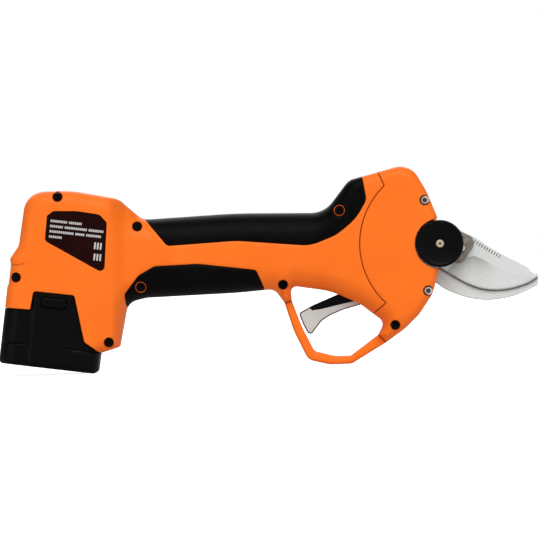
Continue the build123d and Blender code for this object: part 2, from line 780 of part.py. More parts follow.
def blade_parts():
    """Cutting blade with its one-sided grind, the pin that drives it and the pivot bushing."""
    with BuildPart() as blade:
        add(blade_section(BLADE_Y[0], GRIND_LINE))
        add(blade_section(BLADE_Y[1] - 0.3, BLADE_EDGE))
        loft(ruled=True)
        with BuildSketch(Plane.XZ.offset(-BLADE_Y[1])):
            add(blade_section(0.0, BLADE_EDGE))
        extrude(amount=0.3)
        add(rod(PIVOT_X, AXIS_Z, BUSH_R, -16, 1), mode=Mode.SUBTRACT)
        add(rod(*DRIVE_PIN, DRIVE_R, -16, 1), mode=Mode.SUBTRACT)
    export(blade.part, "blade")
    export(rod(*DRIVE_PIN, DRIVE_R, -8.8, -0.4), "drive_pin")
    export(rod(PIVOT_X, AXIS_Z, BUSH_R, -13.4, -0.3, 4.05), "pivot_bushing")


def frame_parts():
    """Head frame that carries the output bearing, the counter blade and the pivot bolt."""
    with BuildPart() as frame:
        plate = [
            (40.0, 66.0, 3),
            (40.0, 86.0, 3),
            (90.0, 91.0, 20),
            (PIVOT_X, 91.0, 4),
            (PIVOT_X, 61.0, 4),
            (90.0, 61.0, 20),
        ]
        add(through(plate, *FRAME_Y))
        add(rod(PIVOT_X, AXIS_Z, 14.6, 4.6, FRAME_Y[1]))
        add(brick((88.0, 4.6, 61.4), (112.0, FRAME_Y[0], 90.6)))
        add(shaft(42.0, 60.0, 14.0))
        add(shaft(42.0, 60.0, 5.4), mode=Mode.SUBTRACT)
        add(shaft(43.9, 50.0, 9.0), mode=Mode.SUBTRACT)
        add(rod(PIVOT_X, AXIS_Z, BOLT_R, -1, 20), mode=Mode.SUBTRACT)
        for x, z in TANG_SPOTS:
            add(rod(x, z, 2.0, 0, 20), mode=Mode.SUBTRACT)
    export(frame.part, "head_frame")

    with BuildPart() as counter:
        with BuildSketch(Plane.XZ.offset(-HOOK_HALF)):
            Polygon(*COUNTER_BLADE, align=None)
        extrude(amount=HOOK_HALF)
        add(rod(PIVOT_X, AXIS_Z, BOLT_R, -1, 6), mode=Mode.SUBTRACT)
        for x, z in TANG_SPOTS:
            add(rod(x, z, 2.0, -1, 6), mode=Mode.SUBTRACT)
    export(counter.part, "counter_blade")
    screws = [rod(x, z, 2.0, 0, FRAME_Y[1]) + rod(x, z, 3.4, FRAME_Y[1], 16.6) for x, z in TANG_SPOTS]
    export(group(screws), "counter_blade_screws")

    with BuildPart() as bolt:
        add(rod(PIVOT_X, AXIS_Z, BOLT_R, -17.4, FRAME_Y[1]))
        with BuildSketch(Plane.XZ.offset(-20.4)):
            with Locations((PIVOT_X, AXIS_Z)):
                RegularPolygon(7.2, 6)
        extrude(amount=20.4 - FRAME_Y[1])
        add(rod(PIVOT_X, AXIS_Z, 1.5, -18, -8), mode=Mode.SUBTRACT)
    export(bolt.part, "pivot_bolt")
    with BuildPart() as nut:
        with BuildSketch(Plane.XZ.offset(13.9)):
            with Locations((PIVOT_X, AXIS_Z)):
                RegularPolygon(7.6, 6)
                Circle(BOLT_R, mode=Mode.SUBTRACT)
        extrude(amount=2.8)
    export(nut.part, "pivot_nut")
    with BuildPart() as cap:
        add(rod(PIVOT_X, AXIS_Z, 15.7, -21.6, -17.4))
        fillet(cap.edges().filter_by(GeomType.CIRCLE).sort_by(Axis.Y)[0], 0.8)
        with BuildSketch(Plane.XZ.offset(21.6)):
            with Locations((PIVOT_X, AXIS_Z)):
                Circle(13.4)
        extrude(amount=-1.6, taper=14, mode=Mode.SUBTRACT)
        add(rod(PIVOT_X, AXIS_Z, 1.5, -22, -15), mode=Mode.SUBTRACT)
    export(cap.part, "pivot_cap")
    with BuildPart() as screw:
        add(rod(PIVOT_X, AXIS_Z, 1.5, -20.0, -10))
        add(rod(PIVOT_X, AXIS_Z, 2.6, -21.4, -20.0))
        with BuildSketch(Plane.XZ.offset(20.4)):
            with Locations((PIVOT_X, AXIS_Z)):
                RegularPolygon(1.2, 6)
        extrude(amount=2, mode=Mode.SUBTRACT)
    export(screw.part, "cap_screw")


def trigger_parts():
    """Trigger with its inserts, pin, return spring and sensing magnet, and the sensor board above it."""
    with BuildPart() as lever:
        with BuildSketch(Plane.XZ.offset(-5.6)):
            add(profile(TRIGGER))
        extrude(amount=11.2)
        fillet(lever.faces().filter_by(Axis.Y).edges().filter_by(lambda e: e.center().X < 48), 1.0)
        for low, high in ((-6, -5.0), (5.0, 6)):
            add(through(INSERT, low, high), mode=Mode.SUBTRACT)
        add(rod(*TRIGGER_PIVOT, 2.05, -6, 6), mode=Mode.SUBTRACT)
        add(brick((44.0, -2.0, 42.0), (49.0, 2.0, 52.0)), mode=Mode.SUBTRACT)
    export(lever.part, "trigger")
    export(group([through(INSERT, -5.6, -5.0), through(INSERT, 5.0, 5.6)]), "trigger_insert")
    export(rod(*TRIGGER_PIVOT, 2.0, -12, 12), "trigger_pin")
    export(brick((44.4, -1.8, 42.0), (48.6, 1.8, 45.4)), "trigger_magnet")
    coils = []
    for y in (-9.4, -8.0, 8.0, 9.4):
        coils.append(rod(*TRIGGER_PIVOT, 3.2, y - 0.6, y + 0.6, 2.2))
    export(group(coils), "trigger_spring")
    export(brick((36.0, -7, 57.2), (58.0, 7, 58.6)), "hall_sensor_board")


housing_and_covers()
guard_part()
body_screws()
power_parts()
export(through(LABEL, -REAR_HALF, -REAR_HALF + 0.35), "rating_label")
battery_parts()
motor_parts()
gearbox_parts()
bevel_pinion()
sector_part()
blade_parts()
frame_parts()
trigger_parts()
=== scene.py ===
# %% [markdown]
# # A battery pruner, piece by piece
# The imported model brings every mechanical piece in its place. It is the frame: nothing in it is moved, and each new
# piece is laid over it in the same metres.

# %% Load the frame
import json
import math
import bmesh
import bpy
import numpy as np
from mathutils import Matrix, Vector
from mathutils.geometry import delaunay_2d_cdt

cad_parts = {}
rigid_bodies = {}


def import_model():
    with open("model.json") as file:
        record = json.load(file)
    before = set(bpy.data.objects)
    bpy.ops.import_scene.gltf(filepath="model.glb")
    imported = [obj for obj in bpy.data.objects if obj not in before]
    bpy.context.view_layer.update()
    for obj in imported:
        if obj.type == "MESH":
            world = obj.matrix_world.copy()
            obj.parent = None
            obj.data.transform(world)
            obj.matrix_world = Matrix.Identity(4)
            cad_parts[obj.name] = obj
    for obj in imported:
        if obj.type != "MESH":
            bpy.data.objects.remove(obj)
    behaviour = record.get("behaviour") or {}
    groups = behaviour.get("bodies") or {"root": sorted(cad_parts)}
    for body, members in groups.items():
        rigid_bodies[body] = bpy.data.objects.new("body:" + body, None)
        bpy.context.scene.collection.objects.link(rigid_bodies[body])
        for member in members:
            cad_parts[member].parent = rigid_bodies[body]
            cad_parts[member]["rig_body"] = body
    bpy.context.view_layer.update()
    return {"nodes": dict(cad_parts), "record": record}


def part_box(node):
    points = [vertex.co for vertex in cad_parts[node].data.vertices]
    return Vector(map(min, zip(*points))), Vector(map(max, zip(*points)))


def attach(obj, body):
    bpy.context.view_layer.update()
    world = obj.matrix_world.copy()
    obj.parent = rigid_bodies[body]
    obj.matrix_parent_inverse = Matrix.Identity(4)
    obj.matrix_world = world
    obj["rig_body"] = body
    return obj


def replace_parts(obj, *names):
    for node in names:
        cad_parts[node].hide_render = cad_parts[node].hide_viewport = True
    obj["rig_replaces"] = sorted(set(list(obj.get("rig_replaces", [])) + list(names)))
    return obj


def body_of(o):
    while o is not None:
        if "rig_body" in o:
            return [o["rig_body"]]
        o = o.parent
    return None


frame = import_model()
nodes = frame["nodes"]
slot_of = {part["node"]: part["material_slot"] for part in frame["record"]["subparts"]}
MM = 0.001
for obj in nodes.values():
    obj.data.materials.clear()
for plain in list(bpy.data.materials):
    bpy.data.materials.remove(plain)

# %% [markdown]
# ## Finishes
# Every finish is a small node tree on Object coordinates, in metres, so a grain size is a real size. A moulded plastic
# is a colour that drifts a little, a roughness that drifts with it, and the fine grain that spark erosion leaves in
# the mould. A metal has a grain that can run along one direction, as grinding leaves it.

# %% Finish helpers
def finish_base(name, colour, roughness, metallic=0.0, specular=0.5):
    """New material with a principled shader, and its nodes."""
    mat = bpy.data.materials.new(name)
    mat.use_nodes = True
    tree = mat.node_tree
    shader = tree.nodes["Principled BSDF"]
    shader.inputs["Base Color"].default_value = (*colour, 1)
    shader.inputs["Roughness"].default_value = roughness
    shader.inputs["Metallic"].default_value = metallic
    shader.inputs["Specular IOR Level"].default_value = specular
    return mat, tree, shader


def noise(tree, scale, detail=3.0, stretch=(1, 1, 1)):
    """Noise on Object coordinates; scale is per metre."""
    place = tree.nodes.new("ShaderNodeTexCoord")
    mapping = tree.nodes.new("ShaderNodeMapping")
    mapping.inputs["Scale"].default_value = stretch
    grain = tree.nodes.new("ShaderNodeTexNoise")
    grain.inputs["Scale"].default_value = scale
    grain.inputs["Detail"].default_value = detail
    tree.links.new(place.outputs["Object"], mapping.inputs["Vector"])
    tree.links.new(mapping.outputs["Vector"], grain.inputs["Vector"])
    return grain


def two_tone(tree, shader, source, low, high, colour_a, colour_b):
    """Colour that drifts between two tones with a noise."""
    tones = tree.nodes.new("ShaderNodeValToRGB")
    tones.color_ramp.elements[0].position = low
    tones.color_ramp.elements[1].position = high
    tones.color_ramp.elements[0].color = (*colour_a, 1)
    tones.color_ramp.elements[1].color = (*colour_b, 1)
    tree.links.new(source.outputs["Fac"], tones.inputs["Fac"])
    tree.links.new(tones.outputs["Color"], shader.inputs["Base Color"])
    return tones


def lay_painted_shade(tree, shader, tones, attribute, colour):
    """Lays a darker colour where an attribute says so: painted shade in grooves, painted reflection on a bevel."""
    mask = tree.nodes.new("ShaderNodeAttribute")
    mask.attribute_name = attribute
    blend = tree.nodes.new("ShaderNodeMix")
    blend.data_type = "RGBA"
    blend.inputs["B"].default_value = (*colour, 1)
    tree.links.new(mask.outputs["Fac"], blend.inputs["Factor"])
    tree.links.new(tones.outputs["Color"], blend.inputs["A"])
    tree.links.new(blend.outputs["Result"], shader.inputs["Base Color"])


def bumped(tree, shader, source, strength, height):
    """Bump from a noise; height in metres."""
    bump = tree.nodes.new("ShaderNodeBump")
    bump.inputs["Strength"].default_value = strength
    bump.inputs["Distance"].default_value = height
    tree.links.new(source.outputs["Fac"], bump.inputs["Height"])
    tree.links.new(bump.outputs["Normal"], shader.inputs["Normal"])


def varied_roughness(tree, shader, source, low, high):
    """Roughness that drifts with a noise."""
    spread = tree.nodes.new("ShaderNodeMapRange")
    spread.inputs["To Min"].default_value = low
    spread.inputs["To Max"].default_value = high
    tree.links.new(source.outputs["Fac"], spread.inputs["Value"])
    tree.links.new(spread.outputs["Result"], shader.inputs["Roughness"])


def moulded(name, colour_a, colour_b, rough, grain=1800, depth=0.00003, strength=0.25, specular=0.5, seam=None):
    """Moulded plastic or rubber with a fine spark-eroded grain, and painted shade down in its seams and grooves."""
    mat, tree, shader = finish_base(name, colour_a, rough, 0.0, specular)
    tones = two_tone(tree, shader, noise(tree, 38, 2.0), 0.35, 0.65, colour_a, colour_b)
    varied_roughness(tree, shader, noise(tree, 90, 2.0), rough - 0.05, rough + 0.06)
    bumped(tree, shader, noise(tree, grain, 2.0), strength, depth)
    if seam is not None:
        lay_painted_shade(tree, shader, tones, "seam", seam)
    return mat


def metal(name, colour_a, colour_b, rough, stretch=(1, 1, 1), grain=900, depth=0.00002, strength=0.2, metallic=1.0,
          seam=None):
    """Metal with a grain that can run along one direction, and painted shade and reflection where marked."""
    mat, tree, shader = finish_base(name, colour_a, rough, metallic)
    tones = two_tone(tree, shader, noise(tree, grain * 0.3, 3.0, stretch), 0.3, 0.7, colour_a, colour_b)
    varied_roughness(tree, shader, noise(tree, grain * 0.5, 2.0, stretch), rough - 0.06, rough + 0.08)
    bumped(tree, shader, noise(tree, grain, 2.0, stretch), strength, depth)
    if seam is not None:
        lay_painted_shade(tree, shader, tones, "seam", seam)
    return mat


# %% [markdown]
# The record names a material slot for each node, so the finishes carry the same names. The orange is bright and
# slightly glossy, the grips are nearly black rubber that reflects little, and the blade is bright ground steel whose
# cutting bevel is painted darker than its flat, as a painted reflection.

# %% Finishes of this tool
# The last, darker colour of several finishes is painted shade, laid into seams, grooves and screw sockets.
moulded("orange_shell", (0.93, 0.168, 0.012), (0.96, 0.182, 0.015), 0.42, specular=0.12,
        seam=(0.13, 0.006, 0.004))
moulded("soft_grip", (0.0009, 0.0007, 0.0007), (0.0018, 0.0014, 0.0014), 0.46, 2600, 0.00005, 0.35, 0.05,
        seam=(0.0004, 0.0004, 0.0004))
moulded("dark_plastic", (0.0009, 0.0007, 0.0007), (0.0016, 0.0013, 0.0012), 0.40, 1800, 0.00002, 0.15, 0.08,
        seam=(0.0004, 0.0004, 0.0004))
moulded("trigger_plastic", (0.52, 0.52, 0.50), (0.57, 0.57, 0.55), 0.36, 2200, 0.00002, 0.2)
moulded("label_film", (0.011, 0.0022, 0.0018), (0.014, 0.003, 0.0024), 0.36, 3000, 0.00001, 0.1, 0.03)
metal("blade_steel", (0.70, 0.72, 0.71), (0.80, 0.82, 0.80), 0.36, (1, 1, 6), metallic=0.35,
      seam=(0.13, 0.13, 0.12))
metal("driver_steel", (0.16, 0.145, 0.125), (0.25, 0.225, 0.195), 0.55, grain=1500, strength=0.5, metallic=0.35,
      seam=(0.03, 0.028, 0.025))
metal("gear_steel", (0.42, 0.42, 0.43), (0.5, 0.5, 0.51), 0.34)
metal("screw_steel", (0.62, 0.61, 0.58), (0.72, 0.71, 0.68), 0.3, metallic=0.6, seam=(0.11, 0.095, 0.07))
moulded("black_screw", (0.001, 0.001, 0.001), (0.002, 0.002, 0.002), 0.45, specular=0.1,
        seam=(0.0004, 0.0004, 0.0004))
metal("casting", (0.045, 0.045, 0.046), (0.06, 0.06, 0.061), 0.55, metallic=0.5)
metal("motor_metal", (0.03, 0.03, 0.032), (0.04, 0.04, 0.042), 0.4)
metal("copper", (0.55, 0.22, 0.1), (0.62, 0.27, 0.12), 0.4)
metal("bronze", (0.62, 0.54, 0.36), (0.74, 0.66, 0.46), 0.32, metallic=0.5, seam=(0.22, 0.17, 0.09))
metal("magnet", (0.5, 0.5, 0.52), (0.55, 0.55, 0.57), 0.22)
moulded("board", (0.01, 0.07, 0.03), (0.014, 0.09, 0.04), 0.4)
moulded("cell_wrap", (0.02, 0.1, 0.2), (0.03, 0.12, 0.22), 0.3)
moulded("lens", (0.1, 0.5, 0.2), (0.12, 0.55, 0.22), 0.12)
moulded("print_white", (0.46, 0.45, 0.44), (0.54, 0.53, 0.52), 0.5)
moulded("etched_mark", (0.16, 0.14, 0.09), (0.24, 0.21, 0.13), 0.6)
# Painted shade and reflection: the trigger's dark red rim stands in for shade and the orange guard's reflection.
moulded("trigger_rim", (0.045, 0.008, 0.005), (0.06, 0.012, 0.007), 0.4, specular=0.1)
print("finishes:", len([m for m in bpy.data.materials if m.use_nodes]))

# %% Dress the CAD nodes, and a helper for new pieces
def coat(obj, finish):
    """Gives an object one finish."""
    obj.data.materials.clear()
    obj.data.materials.append(bpy.data.materials[finish])
    return obj


for node, obj in nodes.items():
    obj.data.materials.clear()
    obj.data.materials.append(bpy.data.materials[slot_of[node]])

# %% [markdown]
# ## Outlines
# A moulded body is easiest to describe by its side view. Each outline is a list of corners with a rounding radius, in
# millimetres, the way a draughtsman would dimension it. A small helper turns corners into a line of close points.

# %% Round the corners of an outline
def rounded_line(corners, closed=True, step=1.0):
    """Points every step along a line of (x, z, radius) corners, its corners rounded."""
    count = len(corners)
    path = []
    for i, (x, z, r) in enumerate(corners):
        here = np.array((x, z))
        if not closed and i in (0, count - 1):
            path.append([here])
            continue
        before = np.array(corners[i - 1][:2]) - here
        after = np.array(corners[(i + 1) % count][:2]) - here
        la, lb = np.linalg.norm(before), np.linalg.norm(after)
        a, b = before / la, after / lb
        half = 0.5 * math.acos(max(-1.0, min(1.0, float(a @ b))))
        if r <= 0.01 or half > 1.56:
            path.append([here])
            continue
        cut = min(r / math.tan(half), 0.49 * la, 0.49 * lb)
        r = cut * math.tan(half)
        centre = here + (a + b) / np.linalg.norm(a + b) * r / math.sin(half)
        start, end = here + a * cut, here + b * cut
        u, v = start - centre, end - centre
        sweep = math.atan2(u[0] * v[1] - u[1] * v[0], float(u @ v))
        n = max(2, int(abs(sweep) * r / step) + 1, int(abs(sweep) / 0.16) + 1)
        bend = [(math.cos(sweep * k / n), math.sin(sweep * k / n)) for k in range(n + 1)]
        path.append([centre + np.array((u[0] * c - u[1] * s, u[0] * s + u[1] * c)) for c, s in bend])
    points = [p for run in path for p in run]
    ends = points + [points[0]] if closed else points
    line = []
    for p, q in zip(ends[:-1], ends[1:]):
        n = max(1, int(round(np.linalg.norm(q - p) / step)))
        line += [p + (q - p) * k / n for k in range(n)]
    if not closed:
        line.append(ends[-1])
    return np.array(line)


def circle(x, z, r, n=28):
    """Closed ring of points."""
    turns = np.linspace(0, 2 * math.pi, n, endpoint=False)
    return np.array([(x + r * math.cos(t), z + r * math.sin(t)) for t in turns])


# %% The body's outlines
BODY = [
    (-160.9, 84.6, 10), (-154.8, 119.2, 14), (-125.5, 118.9, 60), (-95.8, 112.6, 10), (-80.6, 98.6, 12),
    (-20.0, 100.6, 400), (38.0, 98.8, 18), (54.6, 119.3, 9), (94.4, 129.0, 16), (104.6, 110.6, 40), (111.0, 93.6, 2.5),
    (111.6, 60.4, 4), (106.3, 43.6, 8), (97.6, 31.0, 30), (87.5, 21.4, 60), (75.5, 13.2, 0.3), (70.4, 18.3, 0.3),
    (75.0, 25.9, 6), (58.8, 39.0, 20), (40.0, 47.8, 50), (14.2, 52.2, 3.6), (14.9, 42.2, 0), (9.9, 41.2, 0),
    (3.6, 50.3, 7), (-20.0, 48.8, 300), (-79.8, 47.7, 20), (-92.0, 45.0, 9), (-98.4, 16.4, 2), (-110.2, 13.0, 3),
    (-120.5, 20.6, 4), (-125.8, 51.1, 2), (-152.1, 54.9, 2), (-154.8, 43.0, 0.5), (-171.4, 44.9, 0.5),
    (-169.6, 57.2, 3), (-168.3, 60.6, 4), (-166.5, 72.4, 2), (-167.0, 76.4, 2),
]
LEG_TIP, REAR_FOOT = 28, 33  # corners where the battery's edge of the outline begins and ends
BATTERY_EDGE = BODY[LEG_TIP:REAR_FOOT + 1]
UPPER_GRIP = [
    (62.8, 123.5, 0), (65.4, 106.0, 8), (58.5, 94.6, 34), (45.7, 84.2, 34), (28.0, 77.7, 26), (-20.0, 82.6, 60),
    (-64.8, 80.9, 4), (-80.0, 100.4, 0), (-80.0, 108.0, 0), (30.0, 112.0, 0), (40.0, 123.0, 0),
]
LOWER_GRIP = [
    (-92.9, 43.2, 0), (-93.6, 50.6, 3), (-84.0, 62.4, 8), (-73.5, 68.0, 8), (-45.0, 68.5, 30), (-7.8, 63.2, 3),
    (-3.0, 51.6, 1), (-4.0, 44.0, 0), (-60.0, 41.0, 0), (-88.0, 39.0, 0),
]
body_line = rounded_line(BODY)
upper_line, lower_line = rounded_line(UPPER_GRIP), rounded_line(LOWER_GRIP)
battery_line = rounded_line(BATTERY_EDGE, closed=False)
true_line = rounded_line(BODY[REAR_FOOT:] + BODY[:LEG_TIP + 1], closed=False)
print("body outline points:", len(body_line))

# %% [markdown]
# The head cover ends on an arc about the blade pivot, with a short straight step at each end. The grips and the rear
# wall have small moulding lines where inserts met in the tool; they are shallow grooves here too.

# %% Seams and moulding lines
PIVOT, SEAM_RADIUS = (112.0, 76.0), 52.0
SEAM_HIGH, SEAM_LOW = (77.4, 114.6), (75.6, 38.6)
arc_from = math.atan2(SEAM_HIGH[1] - PIVOT[1], SEAM_HIGH[0] - PIVOT[0])
arc_to = math.atan2(SEAM_LOW[1] - PIVOT[1], SEAM_LOW[0] - PIVOT[0]) + 2 * math.pi
arc = [(PIVOT[0] + SEAM_RADIUS * math.cos(t), PIVOT[1] + SEAM_RADIUS * math.sin(t), 200)
       for t in np.linspace(arc_from, arc_to, 60)]
SEAM = [(72.6, 126.0, 0)] + arc + [(66.0, 31.0, 0)]
COVER = SEAM + [(66.0, 0.0, 0), (150.0, 0.0, 0), (150.0, 140.0, 0), (72.6, 140.0, 0)]
seam_line, cover_line = rounded_line(SEAM, closed=False), rounded_line(COVER)
MOULD_LINES = [
    [(-67.4, 99.6, 0), (-66.4, 97.2, 0), (-64.6, 95.0, 0)],
    [(53.4, 118.9, 0), (56.4, 115.0, 0)],
    [(-10.3, 49.2, 0), (-10.4, 51.6, 0)],
    [(-82.8, 47.2, 0), (-80.6, 49.2, 0)],
    [(-167.0, 72.6, 0), (-162.0, 72.0, 0), (-157.6, 72.8, 0)],
]
mould_lines = [rounded_line(line, closed=False, step=0.8) for line in MOULD_LINES]
print("seam points:", len(seam_line))

# %% [markdown]
# ## Distance, inside and outside
# The side wall of a moulding rises from the parting line and rolls over into the flat side. How far a point is from
# the outline says how far over that roll it is, so the whole surface follows from one distance.

# %% Distance helpers
def distance(points, line, closed=True):
    """Shortest distance from each point to a line of points."""
    a = line if closed else line[:-1]
    b = np.roll(line, -1, axis=0) if closed else line[1:]
    d = b - a
    length = np.maximum((d * d).sum(1), 1e-12)
    best = np.full(len(points), 1e9)
    for k in range(0, len(points), 2000):
        p = points[k:k + 2000, None, :] - a[None]
        t = np.clip((p * d[None]).sum(2) / length[None], 0, 1)
        gap = p - t[..., None] * d[None]
        best[k:k + 2000] = np.sqrt((gap * gap).sum(2)).min(1)
    return best


def inside(points, line):
    """True for each point inside a closed line."""
    x, z = points[:, 0], points[:, 1]
    found = np.zeros(len(points), bool)
    for (x1, z1), (x2, z2) in zip(line, np.roll(line, -1, axis=0)):
        if z1 != z2:
            crosses = (z1 > z) != (z2 > z)
            found ^= crosses & (x < (x2 - x1) * (z - z1) / (z2 - z1) + x1)
    return found


def ramp(value, start, end):
    """Smooth step from 0 at start to 1 at end."""
    t = np.clip((value - start) / (end - start), 0, 1)
    return t * t * (3 - 2 * t)


def rolled(gap, radius):
    """How far a rounded edge has dropped below its flat, at a distance from the outline."""
    t = 1 - np.clip(gap / radius, 0, 1)
    return radius * (1 - np.sqrt(1 - t * t))


def groove(gap, depth, half):
    """Depth of a fine groove at a distance from its middle."""
    return depth * np.clip(1 - gap / half, 0, 1) ** 1.5


# %% Height of the body's side
def side_height(points, rim_gap):
    """Half width of the body at each (x, z), in millimetres; rim_gap is the distance from the outline."""
    x, z = points[:, 0], points[:, 1]
    rear = ramp(x, -90.0, -103.0)
    head = ramp(x, 25.0, 62.0)
    half = 20.5 + 6.5 * rear - 0.5 * head
    low = ramp(z, 66.0, 50.0) * ramp(x, -10.0, 20.0) * ramp(x, 92.0, 76.0)
    roll = 15.5 - 6.5 * rear - 9.0 * head * (1 - low) - 2.5 * head * low
    t = np.clip(rim_gap / roll, 0, 1)
    crown = 1.0 * (1 - rear) * (1 - head) * np.clip(1 - rim_gap / 25.0, 0, 1) ** 2
    relief_band = 0.5 * ramp(x, -150.0, -158.0) * ramp(z, 72.8, 71.8) * ramp(z, 56.0, 59.0)
    slot_lip = 6.7 * ramp(x, 16.0, 24.0) * ramp(x, 80.0, 72.0) * ramp(z, 62.0, 56.0)
    return np.maximum(half - roll + roll * np.sqrt(1 - (1 - t) ** 2) - crown * t - relief_band, slot_lip)


# %% [markdown]
# ## Cutting one surface into fitted pieces
# Shells that meet at a seam must share the same surface. All the lines are put into one triangulation, which is
# then dealt out to the pieces, so that seams match exactly and no piece pokes through its neighbour.

# %% Triangulate a side view
def offsets(line, gaps, closed=True):
    """Points on both sides of a line, at each gap."""
    if closed:
        ahead = np.roll(line, -1, axis=0) - line
    else:
        ahead = np.vstack([line[1:] - line[:-1], line[-1:] - line[-2:-1]])
    normal = np.stack([-ahead[:, 1], ahead[:, 0]], 1)
    normal /= np.maximum(np.linalg.norm(normal, axis=1, keepdims=True), 1e-9)
    return np.vstack([line + g * side * normal for g in gaps for side in (-1, 1)])


def triangulated(lines, region, spacing=2.0):
    """Triangles over a region, with every line among their edges. Lines are (points, closed, gaps)."""
    coords, edges = [], []
    for line, closed, _ in lines:
        base = len(coords)
        coords += [tuple(p) for p in line]
        n = len(line)
        edges += [(base + i, base + (i + 1) % n) for i in range(n if closed else n - 1)]
    extra = [offsets(line, gaps, closed) for line, closed, gaps in lines if len(gaps)]
    low, high = region.min(0), region.max(0)
    gx, gz = np.meshgrid(np.arange(low[0], high[0], spacing), np.arange(low[1], high[1], spacing * 0.87))
    gx = gx + (np.arange(gx.shape[0]) % 2)[:, None] * spacing / 2
    grid = np.stack([gx.ravel(), gz.ravel()], 1)
    near = np.full(len(grid), 1e9)
    for line, closed, gaps in lines:
        near = np.minimum(near, distance(grid, line, closed) - max([*gaps, 0.0]))
    extra = np.vstack([*extra, grid[near > 0.7 * spacing]])
    for line, closed, _ in lines:
        extra = extra[distance(extra, line, closed) > 0.09]
    extra = extra[inside(extra, region)]
    kept = np.unique(np.round(extra / 0.12).astype(int), axis=0, return_index=True)[1]
    coords += [tuple(p) for p in extra[np.sort(kept)]]
    verts, _, faces, *_ = delaunay_2d_cdt([Vector(c) for c in coords], edges, [], 0, 1e-5, False)
    return np.array([(v[0], v[1]) for v in verts]), np.array(faces)


def applied(obj):
    """The object with its modifiers made part of its mesh."""
    depsgraph = bpy.context.evaluated_depsgraph_get()
    depsgraph.update()
    mesh = bpy.data.meshes.new_from_object(obj.evaluated_get(depsgraph))
    obj.modifiers.clear()
    obj.data = mesh
    return obj


def linked(name, mesh):
    """New object for a mesh, at the origin."""
    obj = bpy.data.objects.new(name, mesh)
    bpy.context.scene.collection.objects.link(obj)
    return obj


# %% Build a shell from the triangles it is given
def shell(name, points, faces, heights, seam, walls, floor, side, thickness, holes):
    """One shell: its side surface, walls along the outline down to the floor, and recesses down to their seats."""
    used = np.unique(faces)
    bm = bmesh.new()
    # Each vertex keeps how much painted shade its finish lays there.
    mark = bm.verts.layers.float.new("seam")
    vert = {}
    for v in used:
        vert[int(v)] = bm.verts.new((points[v][0] * MM, side * heights[v] * MM, points[v][1] * MM))
        vert[int(v)][mark] = seam[v]
    for tri in faces:
        bm.faces.new([vert[int(v)] for v in tri])
    place = {b: i for i, b in vert.items()}
    rim = [e for e in bm.edges if e.is_boundary]
    rows = 3
    below = {}
    wall_edges = [e for e in rim if all(walls[place[v]] for v in e.verts)]
    for v in {v for e in wall_edges for v in e.verts}:
        top = abs(v.co.y)
        low = min(floor[place[v]] * MM, top)
        levels = [top + (low - top) * k / rows for k in range(1, rows + 1)]
        below[v] = [v] + [bm.verts.new((v.co.x, side * y, v.co.z)) for y in levels]
    for e in wall_edges:
        a, b = e.verts
        for k in range(rows):
            bm.faces.new([below[a][k], below[b][k], below[b][k + 1], below[a][k + 1]])
    for centre, radius, depth in holes:
        ring = [e for e in rim if all(abs(math.dist((v.co.x / MM, v.co.z / MM), centre) - radius) < 0.05
                                      for v in e.verts)]
        foot = {v: bm.verts.new((v.co.x, side * depth * MM, v.co.z)) for v in {v for e in ring for v in e.verts}}
        for e in ring:
            a, b = e.verts
            bm.faces.new([a, b, foot[b], foot[a]])
    bmesh.ops.dissolve_degenerate(bm, dist=1e-7, edges=bm.edges)
    bmesh.ops.recalc_face_normals(bm, faces=bm.faces)
    if sum(f.normal.y * side * f.calc_area() for f in bm.faces) < 0:
        bmesh.ops.reverse_faces(bm, faces=bm.faces)
    mesh = bpy.data.meshes.new(name)
    bm.to_mesh(mesh)
    bm.free()
    obj = linked(name, mesh)
    wall = obj.modifiers.new("wall", "SOLIDIFY")
    wall.thickness = thickness * MM
    wall.offset = -1
    mesh.shade_smooth()
    mesh.set_sharp_from_angle(angle=math.radians(38))
    return applied(obj)


# %% [markdown]
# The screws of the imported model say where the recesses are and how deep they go, so each solid of a screw node is
# measured on its own.

# %% Measure the separate solids of a node
def solids_of(node):
    """Lowest and highest corner of each separate solid of a node, in millimetres."""
    mesh = nodes[node].data
    co = np.array([v.co for v in mesh.vertices]) / MM
    parent = list(range(len(co)))

    def root(i):
        while parent[i] != i:
            parent[i] = parent[parent[i]]
            i = parent[i]
        return i

    key = {}
    for i, c in enumerate(np.round(co, 3)):
        parent[root(i)] = root(key.setdefault(tuple(c), i))
    for e in mesh.edges:
        parent[root(e.vertices[0])] = root(e.vertices[1])
    groups = {}
    for i in range(len(co)):
        groups.setdefault(root(i), []).append(co[i])
    return [(np.min(g, 0), np.max(g, 0)) for g in groups.values()]


HEAD_HEIGHT, COVER_HEAD_HEIGHT = 2.6, 3.2
deep_screws = [((low + high)[[0, 2]] / 2, -low[1] - HEAD_HEIGHT) for low, high in solids_of("housing_screws")]
cover_screws = [((low + high)[[0, 2]] / 2, -low[1] - COVER_HEAD_HEIGHT)
                for low, high in solids_of("head_cover_screws")]
button_low, button_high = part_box("power_button")
button_spot = ((button_low[0] + button_high[0]) / 2 / MM, (button_low[2] + button_high[2]) / 2 / MM)
lens_low, lens_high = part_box("status_lens")
lens_spot = ((lens_low[0] + lens_high[0]) / 2 / MM, (lens_low[2] + lens_high[2]) / 2 / MM)
print("screw seats:", [round(float(seat), 1) for _, seat in deep_screws], "button:", button_spot, "lens:", lens_spot)

# %% Lay out both sides
RIM_ROWS = [0.15, 0.5, 1.1, 2.0, 3.2, 4.8, 6.8, 9.2]
SEAM_ROWS = [0.22, 0.55]
RING_R, COVER_RING_R, BUTTON_RING_R, LENS_RING_R = 3.1, 3.25, 5.6, 1.6
LIP_R = 3.6  # a ring of hard shell stands in the soft grip round a screw


